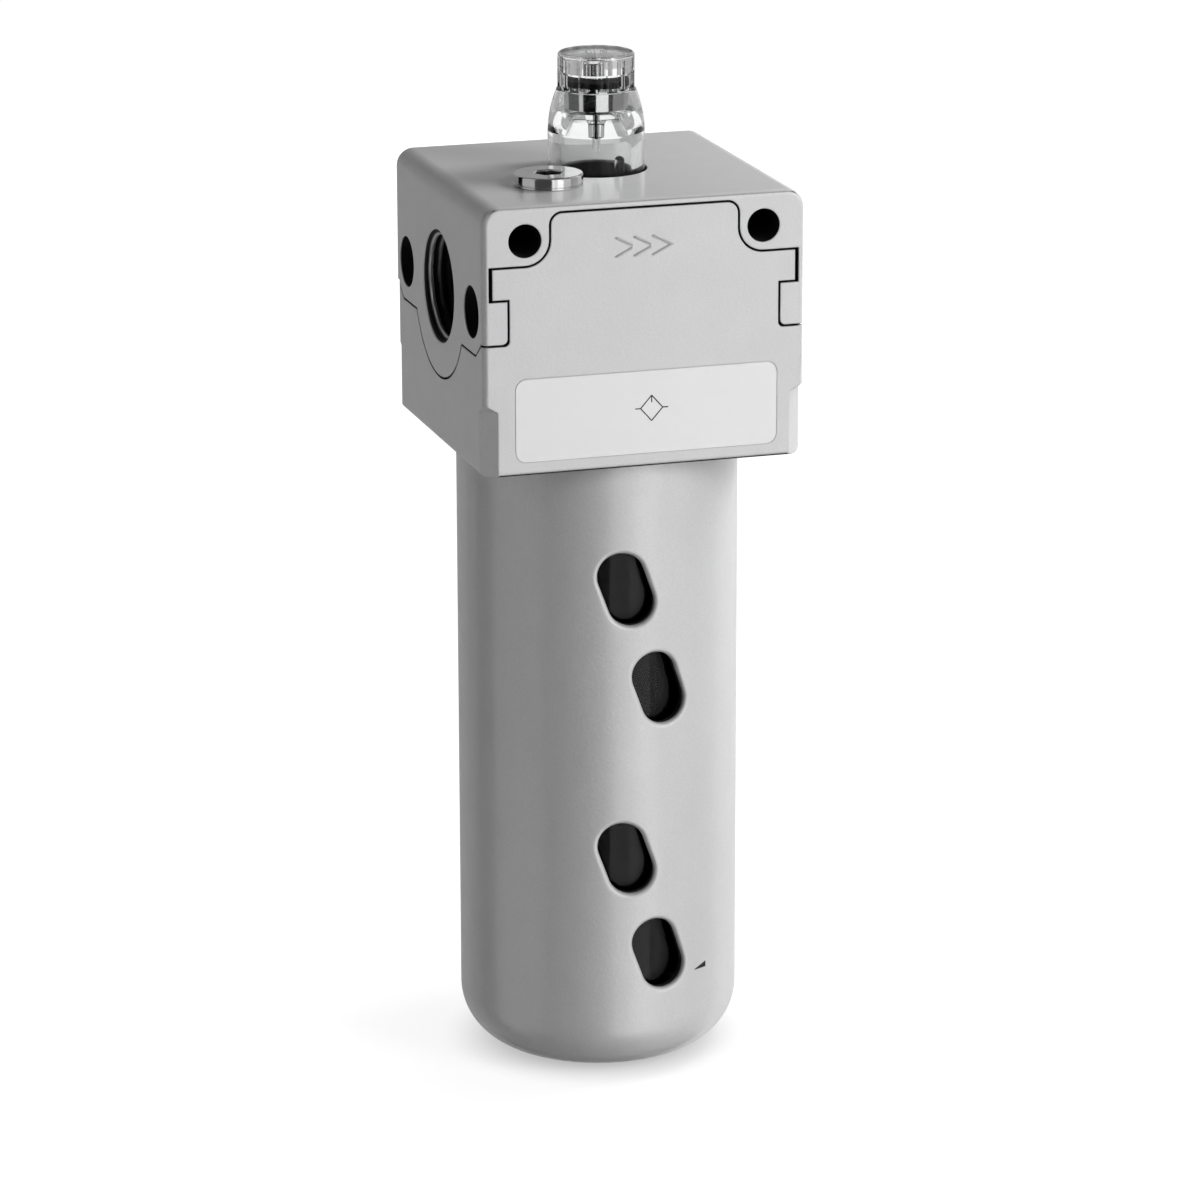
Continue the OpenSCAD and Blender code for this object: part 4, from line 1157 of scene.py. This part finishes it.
def make_world():
    """A white backdrop for the camera and the clear parts, dim in reflections, that lights nothing."""
    world = bpy.data.worlds.new("studio")
    bpy.context.scene.world = world
    world.use_nodes = True
    tree = world.node_tree
    sky = tree.nodes["Background"]
    sky.inputs["Color"].default_value = (1, 1, 1, 1)
    path = tree.nodes.new("ShaderNodeLightPath")
    glossy = math_node(tree, "MULTIPLY", path.outputs["Is Glossy Ray"], SKY_GLOSS)
    clear = math_node(tree, "MULTIPLY", path.outputs["Is Transmission Ray"], SKY_CLEAR)
    level = math_node(tree, "ADD", path.outputs["Is Camera Ray"], math_node(tree, "ADD", glossy, clear))
    tree.links.new(level, sky.inputs["Strength"])


CARD_LOW = -0.6
CARD_HIGH = 0.9
CARD_AWAY = 0.6
CLEAR_CARD_AWAY = 0.59


def make_cards(name, bands, distance, clear):
    """Curved cards round the object that light nothing: reflections or clear parts show them."""
    for i, ((start, level), (end, _)) in enumerate(zip(bands, bands[1:])):
        make_card(f"{name}_{i}", start, end, level, distance, clear)


def make_card(name, start, end, level, distance, clear):
    """One card from one angle to another."""
    mesh = bpy.data.meshes.new(name)
    steps = 16
    points = []
    for i in range(steps + 1):
        a = math.radians(blend(start, end, i / steps) - 90)
        points += [(distance * math.cos(a), distance * math.sin(a), z) for z in (CARD_LOW, CARD_HIGH)]
    faces = [(2 * i, 2 * i + 2, 2 * i + 3, 2 * i + 1) for i in range(steps)]
    mesh.from_pydata(points, [], faces)
    material, tree, _ = new_material(name)
    glow = tree.nodes.new("ShaderNodeEmission")
    glow.inputs["Strength"].default_value = level
    tree.links.new(glow.outputs[0], tree.nodes["Material Output"].inputs["Surface"])
    mesh.materials.append(material)
    card = bpy.data.objects.new(name, mesh)
    bpy.context.scene.collection.objects.link(card)
    card.visible_camera = False
    card.visible_diffuse = False
    card.visible_shadow = False
    card.visible_glossy = not clear
    card.visible_transmission = clear


def make_lamp(name, place, target, size, power):
    """A soft rectangular lamp that points at a target and isn't seen in mirrors or clear parts."""
    data = bpy.data.lights.new(name, "AREA")
    data.shape = "RECTANGLE"
    data.size, data.size_y = size
    data.energy = power
    lamp = bpy.data.objects.new(name, data)
    away = Vector(place) - Vector(target)
    lamp.location = place
    lamp.rotation_euler = away.to_track_quat("Z", "Y").to_euler()
    lamp.visible_glossy = False
    lamp.visible_transmission = False
    lamp.visible_camera = False
    bpy.context.scene.collection.objects.link(lamp)


# Brightness of the cards round the object, each from its angle to the next one. Angles are in
# degrees from the front toward the right. Reflections show the first list, clear parts the second.
BANDS = [
    (-180, 0.36), (-150, 0.28), (-132, 0.0), (-110, 0.5), (-62, 0.06), (-6, 1.15),
    (2, 0.95), (12, 1.45), (32, 0.66), (60, 0.36), (95, 0.71), (130, 0.78), (155, 0.36), (180, 0),
]
CLEAR_BANDS = [
    (-172, 0.42), (-125, 0.12), (-77, 0.8), (-62, 0.0), (-17, 1.2),
    (25, 0.03), (41, 0.3), (91, 0.42), (151, 0),
]

# What the lamps point at
MIDDLE = (0, 0, 0.1)

make_camera()
make_floor()
make_world()
make_cards("card", BANDS, CARD_AWAY, clear=False)
make_cards("clear_card", CLEAR_BANDS, CLEAR_CARD_AWAY, clear=True)
make_lamp("key_lamp", (0.55, -0.62, 0.42), MIDDLE, (0.35, 0.6), 7.6)
make_lamp("back_lamp", (0.45, 0.75, 0.16), MIDDLE, (0.4, 0.2), 5.5)
make_lamp("side_lamp", (-0.85, 0.25, 0.16), MIDDLE, (0.4, 0.2), 1.6)
make_lamp("top_face_lamp", (0.17, 0.02, 0.30), (0, 0, TOP * MM), (0.08, 0.12), 0.55)

scene = bpy.context.scene
scene.view_settings.view_transform = "Standard"
